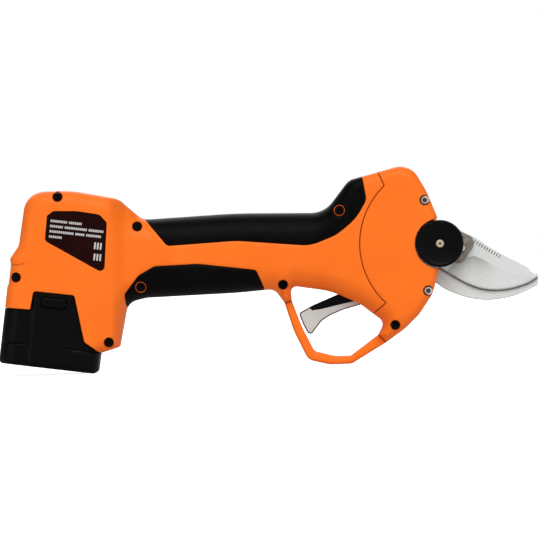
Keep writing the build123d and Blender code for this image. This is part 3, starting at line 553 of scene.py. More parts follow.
def side_pieces(side):
    """Shell pieces of one side: right is -1, left is 1."""
    tag = "right" if side < 0 else "left"
    bite = 16.3 if side < 0 else 8.4
    rings = [(button_spot, BUTTON_RING_R, 22.0), (lens_spot, LENS_RING_R, 23.6)]
    ringed = []
    if side < 0:
        rings = [(tuple(spot), RING_R, seat) for spot, seat in deep_screws]
        ringed = [spot for spot, _, _ in rings if inside(np.array([spot]), upper_line)[0]
                  or inside(np.array([spot]), lower_line)[0]]
        rings += [(tuple(spot), COVER_RING_R, seat) for spot, seat in cover_screws]
    lines = [(body_line, True, RIM_ROWS), (upper_line, True, SEAM_ROWS), (lower_line, True, SEAM_ROWS),
             (seam_line, False, SEAM_ROWS), (circle(*PIVOT, bite, 72), True, [0.3, 0.7])]
    lines += [(line, False, SEAM_ROWS) for line in mould_lines]
    lines += [(circle(*spot, r), True, [0.25, 0.6]) for spot, r, _ in rings]
    lines += [(circle(*spot, LIP_R), True, SEAM_ROWS[:1]) for spot in ringed]
    points, faces = triangulated(lines, body_line)

    rim_gap = distance(points, true_line, closed=False)
    seam_gap = distance(points, seam_line, False)
    edge_gap = distance(points, battery_line, False)
    soft_gap = np.minimum(distance(points, upper_line), distance(points, lower_line))
    mould_gap = np.min([distance(points, line, False) for line in mould_lines], axis=0)
    cut = groove(seam_gap, 0.5, 0.5) + groove(edge_gap + 0.1, 0.4, 0.5) + groove(soft_gap, 0.5, 0.5)
    cut = cut + groove(mould_gap, 0.3, 0.5)
    for spot, r, _ in rings:
        cut = cut + groove(distance(points, circle(*spot, r)), 0.35, 0.5)
    for spot in ringed:
        cut = cut + groove(distance(points, circle(*spot, LIP_R)), 0.3, 0.3)
    heights = side_height(points, rim_gap)
    heights = heights - cut
    # Painted shade: a darker colour is laid along the seams, the moulding lines and round the screw recesses, where
    # shade falls in their grooves.
    seam = ramp(seam_gap, 0.45, 0.1) + 0.5 * np.clip(1 - mould_gap / 0.3, 0, 1)
    for spot, r, _ in rings:
        seam = seam + 0.75 * ramp(distance(points, circle(*spot, r)), 0.5, 0.1)
    seam = np.minimum(seam, 1.0)

    x, z = points[:, 0], points[:, 1]
    floor = np.full(len(points), 0.02)
    floor[(x > 25) & (x < 71) & (z > 28) & (z < 53)] = 6.5  # the trigger comes out here
    floor[(x > 100) & (z > 42) & (z < 97)] = 9.7 if side < 0 else 5.1  # and the blade here

    middles = points[faces].mean(1)
    keep = inside(middles, body_line) & ~inside(middles, circle(*PIVOT, bite, 72))
    for spot, r, _ in rings:
        keep &= ~inside(middles, circle(*spot, r))
    lip = np.zeros(len(middles), bool)
    for spot in ringed:
        lip |= inside(middles, circle(*spot, LIP_R))
    in_upper = inside(middles, upper_line) & ~lip
    in_lower = inside(middles, lower_line) & ~lip
    in_cover = inside(middles, cover_line) & ~in_upper
    groups = {
        f"body_shell_{tag}": (keep & ~in_upper & ~in_lower & ~in_cover, f"housing_{tag}", 0.8),
        f"head_shell_{tag}": (keep & in_cover, f"head_cover_{tag}", 1.7),
        f"top_grip_{tag}": (keep & in_upper, f"upper_grip_{tag}", 1.2),
        f"palm_grip_{tag}": (keep & in_lower, f"lower_grip_{tag}", 1.2),
    }
    on_rim = rim_gap < 0.02
    for name, (chosen, node, thickness) in groups.items():
        obj = shell(name, points, faces[chosen], heights, seam, on_rim, floor, side, thickness, rings)
        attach(obj, "tool")
        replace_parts(obj, node)
        coat(obj, slot_of[node])
        print(name, "triangles:", len(obj.data.polygons))


side_pieces(-1)
side_pieces(1)

# %% [markdown]
# ## Solid plates
# The guard, the trigger, the blades, the label and the battery's foot all follow one rule: a side view, a front
# surface and a back surface. A wall joins the two round every edge, so each piece is closed.

# %% Build a piece from points and faces
def piece(name, verts, faces, body, sharp=38.0):
    """New object that rides on a body; its points are in millimetres and its normals are turned outwards."""
    bm = bmesh.new()
    made = [bm.verts.new(Vector(v) * MM) for v in verts]
    for face in faces:
        bm.faces.new([made[i] for i in face])
    bmesh.ops.delete(bm, geom=[v for v in bm.verts if not v.link_faces], context="VERTS")
    bmesh.ops.remove_doubles(bm, verts=bm.verts, dist=2e-6)
    bmesh.ops.dissolve_degenerate(bm, dist=1e-7, edges=bm.edges)
    bmesh.ops.recalc_face_normals(bm, faces=bm.faces)
    if bm.calc_volume(signed=True) < 0:
        bmesh.ops.reverse_faces(bm, faces=bm.faces)
    mesh = bpy.data.meshes.new(name)
    bm.to_mesh(mesh)
    bm.free()
    mesh.shade_smooth()
    mesh.set_sharp_from_angle(angle=math.radians(sharp))
    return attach(linked(name, mesh), body)


def relief(name, body, region, rows, front, back, lines=(), keep=None, spacing=2.0, sharp=38.0, seam=None):
    """Closed plate over a side view, between a front and a back surface given as functions of place and edge gap."""
    points, faces = triangulated([(region, True, rows), *lines], region, spacing)
    middles = points[faces].mean(1)
    chosen = inside(middles, region)
    if keep is not None:
        chosen &= keep(middles)
    faces = faces[chosen]
    gap = distance(points, region)
    n = len(points)
    ahead, behind = front(points, gap), back(points, gap)
    verts = [(x, y, z) for (x, z), y in zip(points, ahead)] + [(x, y, z) for (x, z), y in zip(points, behind)]
    edges = {(int(a), int(b)) for f in faces for a, b in zip(f, np.roll(f, -1))}
    walls = [(a, b) for a, b in edges if (b, a) not in edges]
    solid = [tuple(map(int, f)) for f in faces] + [tuple(int(n + i) for i in f[::-1]) for f in faces]
    obj = piece(name, verts, solid + [(b, a, a + n, b + n) for a, b in walls], body, sharp)
    # A painted shade mask, where given, is kept on the vertices for the finish to darken.
    if seam is not None:
        mark = obj.data.attributes.new("seam", "FLOAT", "POINT")
        place = np.array([(v.co.x, v.co.z) for v in obj.data.vertices]) / MM
        mark.data.foreach_set("value", np.asarray(seam(place, distance(place, region)), np.float32))
    print(name, "triangles:", sum(len(p.vertices) - 2 for p in obj.data.polygons))
    return obj


def edge_rows(radius, steps=6):
    """Gaps from the outline at which a rounded edge of this radius turns by equal angles."""
    return [radius * (1 - math.cos(0.5 * math.pi * k / steps)) for k in range(1, steps + 1)]


# %% Trigger guard
GUARD = [
    (9.9, 41.2, 0), (15.3, 22.6, 60), (24.0, 3.6, 7), (38.0, 0.0, 20), (52.4, 0.0, 7), (75.5, 13.1, 0),
    (70.4, 18.2, 0), (52.0, 5.2, 3), (42.0, 5.3, 20), (28.4, 9.0, 4), (20.6, 25.6, 60), (14.9, 42.2, 0),
]
GUARD_HALF, GUARD_EDGE = 7.0, 2.2
GUARD_ENDS = [((9.9, 41.2), (14.9, 42.2)), ((75.5, 13.1), (70.4, 18.2))]
guard_sides = [rounded_line(GUARD[:6], closed=False), rounded_line(GUARD[6:], closed=False)]


def guard_front(points, gap):
    """Rounded along both long sides, flat where it meets the housing."""
    side = np.min([distance(points, line, closed=False) for line in guard_sides], axis=0)
    return -GUARD_HALF + rolled(side, GUARD_EDGE)


# Painted shade: the colour darkens at both ends, in the gap where the guard meets the housing.
guard = relief("guard_loop", "tool", rounded_line(GUARD, step=0.8), edge_rows(GUARD_EDGE), guard_front,
               lambda points, gap: -guard_front(points, gap), spacing=1.2,
               seam=lambda place, gap: np.max([ramp(distance(place, np.array(end), closed=False), 0.7, 0.2)
                                               for end in GUARD_ENDS], axis=0))
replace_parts(guard, "trigger_guard")
coat(guard, "orange_shell")

# %% [markdown]
# ## Trigger
# The trigger is a dark moulding with a light grey plate let into each cheek, so a thin dark line runs all round the
# grey. That dark red line is painted shade and a painted reflection of the orange guard on the trigger's edge. A
# black strip is let into the top of the grey where the finger doesn't reach.

# %% Trigger body, cheeks and strips
TRIGGER = [
    (70.0, 50.6, 3), (70.0, 43.4, 3), (60.0, 38.3, 3), (47.8, 35.2, 30), (40.0, 32.2, 20), (33.7, 28.5, 12),
    (27.0, 20.2, 1.4), (24.5, 20.8, 1.4), (21.8, 26.2, 20), (19.0, 34.0, 1.8), (28.4, 38.9, 20), (46.0, 45.8, 30),
    (58.0, 51.6, 3),
]
STRIP = [(60.0, 56.0, 0), (46.2, 50.0, 5), (30.4, 42.6, 5), (25.4, 38.4, 0.5), (27.6, 35.5, 0.8),
         (34.2, 36.3, 10), (60.0, 41.6, 0.5)]
TRIGGER_HALF, CHEEK_INSET, CHEEK_PROUD = 5.3, 0.55, 0.3
PIN_SPOT, PIN_R = (66.5, 47.0), 2.05
trigger_line, strip_line = rounded_line(TRIGGER, step=0.8), rounded_line(STRIP, step=0.8)
pin_ring = circle(*PIN_SPOT, PIN_R, 32)


def off_pin(middles):
    """True away from the hole for the pivot pin."""
    return ~inside(middles, pin_ring)


core = relief("trigger_core", "trigger", trigger_line, edge_rows(0.7, 3),
              lambda points, gap: -TRIGGER_HALF + rolled(gap, 0.7), lambda points, gap: TRIGGER_HALF - rolled(gap, 0.7),
              [(pin_ring, True, [])], off_pin)
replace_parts(core, "trigger")
# Painted shade: the dark red core shows as a thin rim round each grey cheek.
coat(core, "trigger_rim")
for side, tag in ((-1, "right"), (1, "left")):
    def cheek_out(points, gap):
        """Outer face of the grey cheek, which stands a little proud inside the dark rim."""
        return side * (TRIGGER_HALF + CHEEK_PROUD - rolled(gap - CHEEK_INSET, 0.8))

    def strip_out(points, gap):
        """Outer face of the black strip."""
        return side * (TRIGGER_HALF + CHEEK_PROUD + 0.08 - rolled(gap, 0.25))

    def on_cheek(middles):
        """True inside the dark rim, away from the pin and from the strip."""
        return off_pin(middles) & (distance(middles, trigger_line) > CHEEK_INSET) & ~inside(middles, strip_line)

    rows = [CHEEK_INSET] + [CHEEK_INSET + r for r in edge_rows(0.8, 4)]
    cheek = relief(f"trigger_cheek_{tag}", "trigger", trigger_line, rows, cheek_out,
                   lambda points, gap: np.full(len(points), side * (TRIGGER_HALF - 0.4)),
                   [(pin_ring, True, []), (strip_line, True, [])], on_cheek, spacing=1.4)
    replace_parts(cheek, "trigger")
    coat(cheek, "trigger_plastic")
    strip = relief(f"trigger_strip_{tag}", "trigger", strip_line, edge_rows(0.25, 2), strip_out,
                   lambda points, gap: np.full(len(points), side * (TRIGGER_HALF - 0.4)),
                   [(trigger_line, True, [])], lambda middles: inside(middles, trigger_line), spacing=1.4)
    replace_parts(strip, "trigger_insert")
    coat(strip, "dark_plastic")

# %% [markdown]
# ## Battery
# The battery slides up into the housing at a lean. Its foot is a round-ended box with a base band, and a flat tower
# carries the latch button up the side of the housing. Everything is laid out along the battery's own two directions.

# %% Battery foot
LEAN = math.radians(8.5)
BATTERY_BASE = (-144.6, 4.4)
BATTERY_SIDE = [
    (-176.9, 9.2, 3), (-171.5, 44.5, 0), (-154.5, 42.7, 0), (-151.9, 54.6, 2), (-126.1, 50.8, 2), (-120.8, 20.6, 4),
    (-110.9, 12.4, 0), (-113.2, -0.411, 3),
]
BATTERY_HALF, END_ROUND, TOWER_STEP, BAND = 26.6, 13.0, 1.3, 14.0
FRONT_END, REAR_END = 32.0, -32.6
CAVITY_HALF = 21.6
LATCH_P, LATCH_Q = -1.0, 42.4


def leaning(p, q):
    """Point (x, z) at p along the battery's base and q up its side."""
    return (BATTERY_BASE[0] + p * math.cos(LEAN) + q * math.sin(LEAN),
            BATTERY_BASE[1] - p * math.sin(LEAN) + q * math.cos(LEAN))


def base_and_side(points):
    """How far each point is along the battery's base, and up its side."""
    dx, dz = points[:, 0] - BATTERY_BASE[0], points[:, 1] - BATTERY_BASE[1]
    return dx * math.cos(LEAN) - dz * math.sin(LEAN), dx * math.sin(LEAN) + dz * math.cos(LEAN)


tower = np.array([leaning(p, q) for p, q in [(-15.6, 60), (-14.4, 4), (-13.0, -6), (9.0, -6), (10.5, 12), (12.5, 60)]])
tower_line = rounded_line([(x, z, 2.0) for x, z in tower])
band_line = np.array([leaning(p, BAND) for p in np.arange(-36.0, 36.1, 1.0)])
battery_outline = rounded_line(BATTERY_SIDE)


def foot_height(points, gap):
    """Half width of the foot: round ends, a flat tower between them and a fine line above the base band."""
    p, q = base_and_side(points)
    over = np.maximum(p - (FRONT_END - END_ROUND), (REAR_END + END_ROUND) - p)
    drop = rolled(END_ROUND - np.clip(over, 0, END_ROUND), END_ROUND)
    lobes = BATTERY_HALF - TOWER_STEP - 0.85 * drop + 0.35 * ramp(q, BAND + 0.2, BAND - 0.2)
    raised = ramp(np.where(inside(points, tower_line), distance(points, tower_line), 0.0), 0.0, 3.2)
    side = lobes + (BATTERY_HALF - lobes) * raised
    line = groove(distance(points, band_line, False), 0.5, 0.5) * (1 - raised)
    return side - line - rolled(q, 3.0) - rolled(np.where(q > 30, gap, 9), 0.6)


latch_window = rounded_line([(*leaning(LATCH_P + dp, LATCH_Q + dq), 2.2)
                             for dp, dq in [(-8.6, -3.6), (8.6, -3.6), (8.6, 3.6), (-8.6, 3.6)]])
# Painted shade: the fine line above the base band is darkened, where shade falls in its groove.
foot = relief("battery_shoe", "battery", battery_outline, [0.3, 0.8, 1.6, 3.0, 5.0, 8.0, 11.0],
              lambda points, gap: -foot_height(points, gap), foot_height,
              [(tower_line, True, [0.5, 1.2, 2.0, 3.2]), (band_line, False, [0.2, 0.5]), (latch_window, True, [])],
              lambda middles: ~inside(middles, latch_window), spacing=1.6,
              seam=lambda place, gap: np.clip(1 - distance(place, band_line, False) / 0.3, 0, 1))
corners = [leaning(p, q) for p, q in [(-CAVITY_HALF, 9.0), (CAVITY_HALF, 9.0),
                                      (CAVITY_HALF, 95.0), (-CAVITY_HALF, 95.0)]]
hollow_verts = [(x, y, z) for y in (-CAVITY_HALF, CAVITY_HALF) for x, z in corners]
hollow_faces = [(0, 1, 2, 3), (7, 6, 5, 4), (0, 4, 5, 1), (1, 5, 6, 2), (2, 6, 7, 3), (3, 7, 4, 0)]
hollow = piece("hollow", hollow_verts, hollow_faces, "battery")
carve = foot.modifiers.new("hollow", "BOOLEAN")
carve.operation = "DIFFERENCE"
carve.object = hollow
carve.solver = "EXACT"
applied(foot)
bpy.data.objects.remove(hollow)
foot.data.set_sharp_from_angle(angle=math.radians(38))
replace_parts(foot, "battery_foot")
coat(foot, "dark_plastic")
print("foot triangles:", sum(len(p.vertices) - 2 for p in foot.data.polygons))

# %% Latch buttons
latch_line = rounded_line([(*leaning(LATCH_P + dp, LATCH_Q + dq), 1.9)
                           for dp, dq in [(-8.2, -3.2), (8.2, -3.2), (8.2, 3.2), (-8.2, 3.2)]], step=0.6)
for side, tag in ((-1, "right"), (1, "left")):
    inner, outer = 24.0, 26.5
    latch = relief(f"latch_pad_{tag}", f"latch_{tag}", latch_line, edge_rows(0.8, 4),
                   lambda points, gap: side * (outer - rolled(gap, 0.8)),
                   lambda points, gap: np.full(len(points), side * inner), spacing=1.2)
    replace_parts(latch, f"latch_button_{tag}")
    coat(latch, "dark_plastic")

# %% [markdown]
# ## Blades
# The cutting blade is one plate of steel. Its flat is ground hollow towards the edge, and a narrow bevel makes the
# edge itself, which catches less light: a painted reflection darkens the bevel, and painted shade marks where the
# hollow begins. The counter blade is a plain hooked plate behind it with softened edges.

# %% Cutting blade
BLADE = [
    (121.0, 88.6, 3), (128.9, 82.6, 6), (135.3, 79.6, 20), (144.8, 72.6, 60), (154.3, 66.8, 60), (162.6, 62.4, 60),
    (169.2, 58.4, 14), (174.0, 53.6, 8), (175.9, 51.3, 0), (169.9, 47.6, 20), (160.0, 44.6, 40), (148.3, 43.4, 40),
    (137.3, 45.0, 40), (127.7, 49.3, 40), (118.8, 55.0, 40), (111.1, 59.8, 8), (104.0, 64.6, 6), (98.0, 76.0, 12),
    (104.0, 88.6, 10),
]
EDGE_FROM, EDGE_TO = 8, 15
GRIND = [
    (112.0, 59.2, 0), (116.6, 58.4, 3), (123.8, 64.2, 8), (129.8, 66.6, 8), (134.4, 67.6, 3), (141.0, 64.6, 20),
    (152.0, 58.0, 40), (165.0, 53.0, 30), (174.5, 51.0, 0),
]
BLADE_FRONT, BLADE_BACK_Y, HOLLOW_DROP, BEVEL_WIDTH, BEVEL_DROP = -3.8, -0.3, 0.9, 1.5, 1.9
BUSH_R, DRIVE_SPOT, DRIVE_R = 5.5, (126.9, 72.7), 2.7
blade_line = rounded_line(BLADE, step=0.8)
edge_line = rounded_line(BLADE[EDGE_FROM:EDGE_TO + 1], closed=False, step=0.8)
grind_line = rounded_line(GRIND, closed=False, step=0.8)
ground = np.vstack([grind_line, edge_line])
bush_ring, drive_ring = circle(*PIVOT, BUSH_R, 48), circle(*DRIVE_SPOT, DRIVE_R, 32)


def blade_front(points, gap):
    """Flat, then ground hollow, then the bevel of the edge."""
    to_edge = distance(points, edge_line, False)
    to_grind = distance(points, grind_line, False)
    share = np.where(inside(points, ground), to_grind / np.maximum(to_grind + to_edge, 1e-6), 0.0)
    hollow_part = HOLLOW_DROP * (1 - (1 - share) ** 1.8)
    bevel = BEVEL_DROP * np.clip(1 - to_edge / BEVEL_WIDTH, 0, 1)
    spine = np.where(to_edge > 3, rolled(gap, 0.4), 0.0)
    return BLADE_FRONT + hollow_part + bevel + spine


def painted_edge_shade(place, gap):
    """Painted reflection along the bevel of the edge, and painted shade where the hollow grind begins."""
    bevel = np.clip(1.25 - distance(place, edge_line, False) / BEVEL_WIDTH, 0, 1)
    deep = np.exp(-distance(place, grind_line, False) / 6.0) * ramp(place[:, 0], 152.0, 134.0)
    return np.maximum(bevel, 0.62 * deep * inside(place, ground))


blade = relief("cutting_blade", "cutter", blade_line, [0.1, 0.25, 0.4, BEVEL_WIDTH], blade_front,
               lambda points, gap: np.full(len(points), BLADE_BACK_Y),
               [(grind_line, False, [0.5, 1.2]), (bush_ring, True, []), (drive_ring, True, [])],
               lambda middles: ~inside(middles, bush_ring) & ~inside(middles, drive_ring), spacing=1.1, sharp=10,
               seam=painted_edge_shade)
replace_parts(blade, "blade")
coat(blade, "blade_steel")

# %% Counter blade
HOOK = [
    (88.0, 62.0, 1), (88.0, 90.0, 1), (112.0, 90.4, 3), (122.0, 86.0, 8), (125.0, 72.0, 20), (119.0, 58.6, 6),
    (128.0, 52.6, 30), (138.0, 48.8, 30), (149.0, 47.2, 30), (160.0, 48.0, 30), (170.0, 51.2, 10), (173.6, 54.2, 1.2),
    (175.6, 54.6, 0.6), (176.1, 52.6, 3), (175.6, 46.6, 1.2), (169.9, 44.0, 20), (163.8, 41.4, 30), (157.7, 39.6, 30),
    (150.2, 38.4, 40), (142.8, 38.0, 40), (132.9, 39.2, 40), (124.3, 41.9, 40), (115.7, 45.6, 40), (109.3, 50.5, 30),
    (100.0, 58.0, 4),
]
HOOK_Y = (0.0, 4.5)
BOLT_R, TANG_SPOTS, TANG_R = 4.0, [(94.0, 66.0), (94.0, 86.0)], 2.0
hook_line = rounded_line(HOOK, step=0.8)
holes = [circle(*PIVOT, BOLT_R, 40)] + [circle(*spot, TANG_R, 24) for spot in TANG_SPOTS]
# Painted shade: a thin darker line is laid round the counter blade's rounded rim.
counter = relief("hook_blade", "tool", hook_line, edge_rows(0.9, 4),
                 lambda points, gap: HOOK_Y[0] + rolled(gap, 0.9), lambda points, gap: HOOK_Y[1] - rolled(gap, 0.9),
                 [(ring, True, []) for ring in holes],
                 lambda middles: ~np.any([inside(middles, ring) for ring in holes], axis=0), spacing=1.3,
                 seam=lambda place, gap: 0.8 * np.clip(1 - gap / 0.35, 0, 1))
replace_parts(counter, "counter_blade")
coat(counter, "blade_steel")

# %% [markdown]
# ## Turned parts
# The pivot disc, the power button and the lens are turned about an axis across the tool, so each is a short profile
# carried round a circle. The disc is dished, with fine rings left by the turning.

# %% Turn a profile
def turned(name, body, centre, rings, sharp=38.0, turns=72):
    """Solid turned about an axis along Y: rings are (radius, y) from the middle of one face to that of the other."""
    angles = np.linspace(0, 2 * math.pi, turns, endpoint=False)
    verts, rows = [], []
    for r, y in rings:
        start = len(verts)
        if r < 1e-6:
            verts.append((centre[0], y, centre[1]))
            rows.append([start] * turns)
        else:
            verts += [(centre[0] + r * math.cos(t), y, centre[1] + r * math.sin(t)) for t in angles]
            rows.append(list(range(start, start + turns)))
    faces = []
    for low, high in zip(rows[:-1], rows[1:]):
        for k in range(turns):
            loop = [low[k], low[(k + 1) % turns], high[(k + 1) % turns], high[k]]
            faces.append(list(dict.fromkeys(loop)))
    return piece(name, verts, [f for f in faces if len(f) > 2], body, sharp)


# %% Pivot disc, power button and lens
DISC_R, DISC_OUT, DISC_IN, BORE_R = 15.3, -21.6, -17.4, 1.5
dish = [(r, DISC_OUT + 1.5 - 1.1 * (r / 13.0) ** 2 + (0.10 if k % 2 else 0.0))
        for k, r in enumerate(np.linspace(3.2, 12.9, 21))]
rim = [(13.3, DISC_OUT + 0.1), (14.2, DISC_OUT), (14.8, DISC_OUT + 0.15), (15.15, DISC_OUT + 0.5),
       (DISC_R, DISC_OUT + 1.0), (DISC_R, DISC_IN)]
bore = [(BORE_R, DISC_IN), (BORE_R, DISC_OUT + 1.9), (3.0, DISC_OUT + 1.9)]
disc = turned("pivot_disc", "tool", PIVOT, dish + rim + bore + dish[:1])
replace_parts(disc, "pivot_cap")
coat(disc, "dark_plastic")
stud_face, stud_foot = -8.95, -0.4
stud = turned("drive_stud", body_of(nodes["drive_pin"])[0], DRIVE_SPOT,
              [(0, stud_face), (1.85, stud_face), (2.1, stud_face + 0.25), (2.1, stud_face + 1.5), (2.6, stud_face + 1.5),
               (2.68, stud_face + 0.85), (2.68, stud_foot), (0, stud_foot)], turns=40)
# Painted shade: the step ring of the stud is darkened, where shade falls in its groove.
mark = stud.data.attributes.new("seam", "FLOAT", "POINT")
mark.data.foreach_set("value", [float(abs(v.co.y / MM - stud_face - 1.5) < 0.1) for v in stud.data.vertices])
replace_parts(stud, "drive_pin")
coat(stud, "screw_steel")
b_in, b_out, b_r = button_low[1] / MM, button_high[1] / MM, (button_high[0] - button_low[0]) / 2 / MM
button_profile = [(0, b_in), (b_r, b_in), (b_r, b_out - 0.8), (b_r - 0.25, b_out - 0.25), (b_r - 0.8, b_out),
                  (3.6, b_out - 0.1), (3.2, b_out - 0.3), (1.6, b_out - 0.45), (0, b_out - 0.5)]
button = turned("power_pad", "power", button_spot, button_profile, turns=48)
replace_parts(button, "power_button")
coat(button, "dark_plastic")
l_in, l_out, l_r = lens_low[1] / MM, lens_high[1] / MM, (lens_high[0] - lens_low[0]) / 2 / MM
lens = turned("lens_dome", "tool", lens_spot,
              [(0, l_in), (l_r, l_in), (l_r, l_out - 0.4),
                (l_r * 0.8, l_out - 0.15), (l_r * 0.4, l_out - 0.02), (0, l_out)],
              turns=32)
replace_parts(lens, "status_lens")
coat(lens, "lens")

# %% [markdown]
# ## Rating label
# A thin black film with cut corners lies in a shallow recess. The small print is left out: rows of plain blocks keep
# its look, and say nothing.

# %% Label film
LABEL = [(-137.3, 106.2, 3), (-122.0, 105.6, 40), (-107.6, 102.8, 5), (-103.0, 97.4, 3), (-105.9, 64.3, 3),
         (-143.6, 87.1, 3), (-141.6, 103.3, 2)]
LABEL_OUT, LABEL_IN = -27.1, -26.7
label = relief("label_plate", "tool", rounded_line(LABEL, step=0.8), [0.1, 0.3],
               lambda points, gap: LABEL_OUT + rolled(gap, 0.12), lambda points, gap: np.full(len(points), LABEL_IN))
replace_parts(label, "rating_label")
coat(label, "label_film")

# %% [markdown]
# ## What repeats: screws, printed blocks, ribs and etched ticks
# Geometry Nodes put one small shape on many points. Two trees do all of it. The first makes a screw with a hexagon
# socket. The second makes a flat block with rounded corners, which serves as print, as a finger rib or as a tick
# etched in steel. Each tree's sizes are its named inputs.

# %% Helpers for node trees
def new_tree(name, sizes):
    """Empty node tree with its places, its named sizes and a material as inputs."""
    tree = bpy.data.node_groups.new(name, "GeometryNodeTree")
    tree.interface.new_socket("Places", in_out="INPUT", socket_type="NodeSocketGeometry")
    for label_text, value in sizes.items():
        socket = tree.interface.new_socket(label_text, in_out="INPUT", socket_type="NodeSocketFloat")
        socket.default_value = value
    tree.interface.new_socket("Finish", in_out="INPUT", socket_type="NodeSocketMaterial")
    tree.interface.new_socket("Pieces", in_out="OUTPUT", socket_type="NodeSocketGeometry")
    return tree, tree.nodes.new("NodeGroupInput"), tree.nodes.new("NodeGroupOutput")


def put(tree, kind, **values):
    """Adds a node and sets or links its inputs."""
    node_made = tree.nodes.new(kind)
    for key, value in values.items():
        socket = node_made.inputs[key.replace("_", " ")]
        if isinstance(value, bpy.types.NodeSocket):
            tree.links.new(value, socket)
        else:
            socket.default_value = value
    return node_made


def math_node(tree, operation, a, b):
    """Result of one sum on two values or sockets."""
    made = tree.nodes.new("ShaderNodeMath")
    made.operation = operation
    for socket, value in zip(made.inputs, (a, b)):
        if isinstance(value, bpy.types.NodeSocket):
            tree.links.new(value, socket)
        else:
            socket.default_value = value
    return made.outputs[0]


def lifted(tree, mesh, height):
    """A mesh moved along Z."""
    offset = put(tree, "ShaderNodeCombineXYZ", Z=height)
    return put(tree, "GeometryNodeTransform", Geometry=mesh, Translation=offset.outputs[0]).outputs[0]


def finish_tree(tree, start, end, shape, rotation, scale=None):
    """Puts the shape on every place, makes it real and gives it its finish."""
    spread = put(tree, "GeometryNodeInstanceOnPoints", Points=start.outputs["Places"],
                 Instance=shape, Rotation=rotation)
    if scale is not None:
        tree.links.new(scale, spread.inputs["Scale"])
    real = put(tree, "GeometryNodeRealizeInstances", Geometry=spread.outputs[0])
    dressed = put(tree, "GeometryNodeSetMaterial", Geometry=real.outputs[0], Material=start.outputs["Finish"])
    tree.links.new(dressed.outputs[0], end.inputs["Pieces"])


# %% Screw tree
def screw_tree():
    """A screw whose head points to -Y: shank, chamfered head and a hexagon socket, united into one solid."""
    tree, start, end = new_tree("socket_screw", {
        "Head Radius": 0.003, "Head Height": 0.0026, "Socket Radius": 0.0014, "Socket Depth": 0.0016,
        "Shank Radius": 0.0015, "Shank Length": 0.01})
    take = start.outputs
    low_part = math_node(tree, "MULTIPLY", take["Head Height"], 0.6)
    top_part = math_node(tree, "MULTIPLY", take["Head Height"], 0.401)
    head = put(tree, "GeometryNodeMeshCylinder", Vertices=40, Radius=take["Head Radius"], Depth=low_part)
    narrow = math_node(tree, "MULTIPLY", take["Head Radius"], 0.78)
    crown = put(tree, "GeometryNodeMeshCone", Vertices=40, Radius_Top=narrow, Radius_Bottom=take["Head Radius"],
                Depth=top_part)
    shank = put(tree, "GeometryNodeMeshCylinder", Vertices=24, Radius=take["Shank Radius"],
                Depth=take["Shank Length"])
    socket = put(tree, "GeometryNodeMeshCylinder", Vertices=6, Radius=take["Socket Radius"],
                 Depth=math_node(tree, "MULTIPLY", take["Socket Depth"], 2.0))
    head_up = lifted(tree, head.outputs["Mesh"], math_node(tree, "MULTIPLY", low_part, 0.5))
    crown_up = lifted(tree, crown.outputs["Mesh"], math_node(tree, "MULTIPLY", low_part, 0.999))
    shank_down = lifted(tree, shank.outputs["Mesh"],
                        math_node(tree, "MULTIPLY", take["Shank Length"], -0.499))
    socket_up = lifted(tree, socket.outputs["Mesh"], take["Head Height"])
    united = tree.nodes.new("GeometryNodeMeshBoolean")
    united.operation = "UNION"
    united.solver = "EXACT"
    for part in (head_up, crown_up, shank_down):
        tree.links.new(part, united.inputs["Mesh 2"])
    drilled = tree.nodes.new("GeometryNodeMeshBoolean")
    drilled.operation = "DIFFERENCE"
    drilled.solver = "EXACT"
    tree.links.new(united.outputs["Mesh"], drilled.inputs["Mesh 1"])
    tree.links.new(socket_up, drilled.inputs["Mesh 2"])
    finish_tree(tree, start, end, drilled.outputs["Mesh"], (math.radians(90), 0, 0))
    return tree


# %% Block tree
def block_tree():
    """A flat block with rounded corners that faces -Y and leans by an angle about that axis."""
    tree, start, end = new_tree("flat_block", {
        "Width": 0.001, "Height": 0.0016, "Corner": 0.0002, "Thickness": 0.0001, "Lean": 0.0})
    take = start.outputs
    outline = put(tree, "GeometryNodeCurvePrimitiveQuadrilateral", Width=take["Width"], Height=take["Height"])
    soft = tree.nodes.new("GeometryNodeFilletCurve")
    if "Mode" in soft.inputs:
        soft.inputs["Mode"].default_value = "Poly"
    else:
        soft.mode = "POLY"
    soft.inputs["Count"].default_value = 3
    tree.links.new(outline.outputs["Curve"], soft.inputs["Curve"])
    tree.links.new(take["Corner"], soft.inputs["Radius"])
    filled = put(tree, "GeometryNodeFillCurve", Curve=soft.outputs["Curve"])
    raised = put(tree, "GeometryNodeExtrudeMesh", Mesh=filled.outputs["Mesh"], Offset_Scale=take["Thickness"])
    raised.inputs["Individual"].default_value = False
    turned_back = put(tree, "GeometryNodeFlipFaces", Mesh=filled.outputs["Mesh"])
    closed = tree.nodes.new("GeometryNodeJoinGeometry")
    tree.links.new(raised.outputs["Mesh"], closed.inputs[0])
    tree.links.new(turned_back.outputs["Mesh"], closed.inputs[0])
    merged = put(tree, "GeometryNodeMergeByDistance", Geometry=closed.outputs[0], Distance=1e-6)
    turn = put(tree, "ShaderNodeCombineXYZ", X=math.radians(90), Y=take["Lean"])
    finish_tree(tree, start, end, merged.outputs[0], turn.outputs[0])
    return tree


SCREWS, BLOCKS = screw_tree(), block_tree()


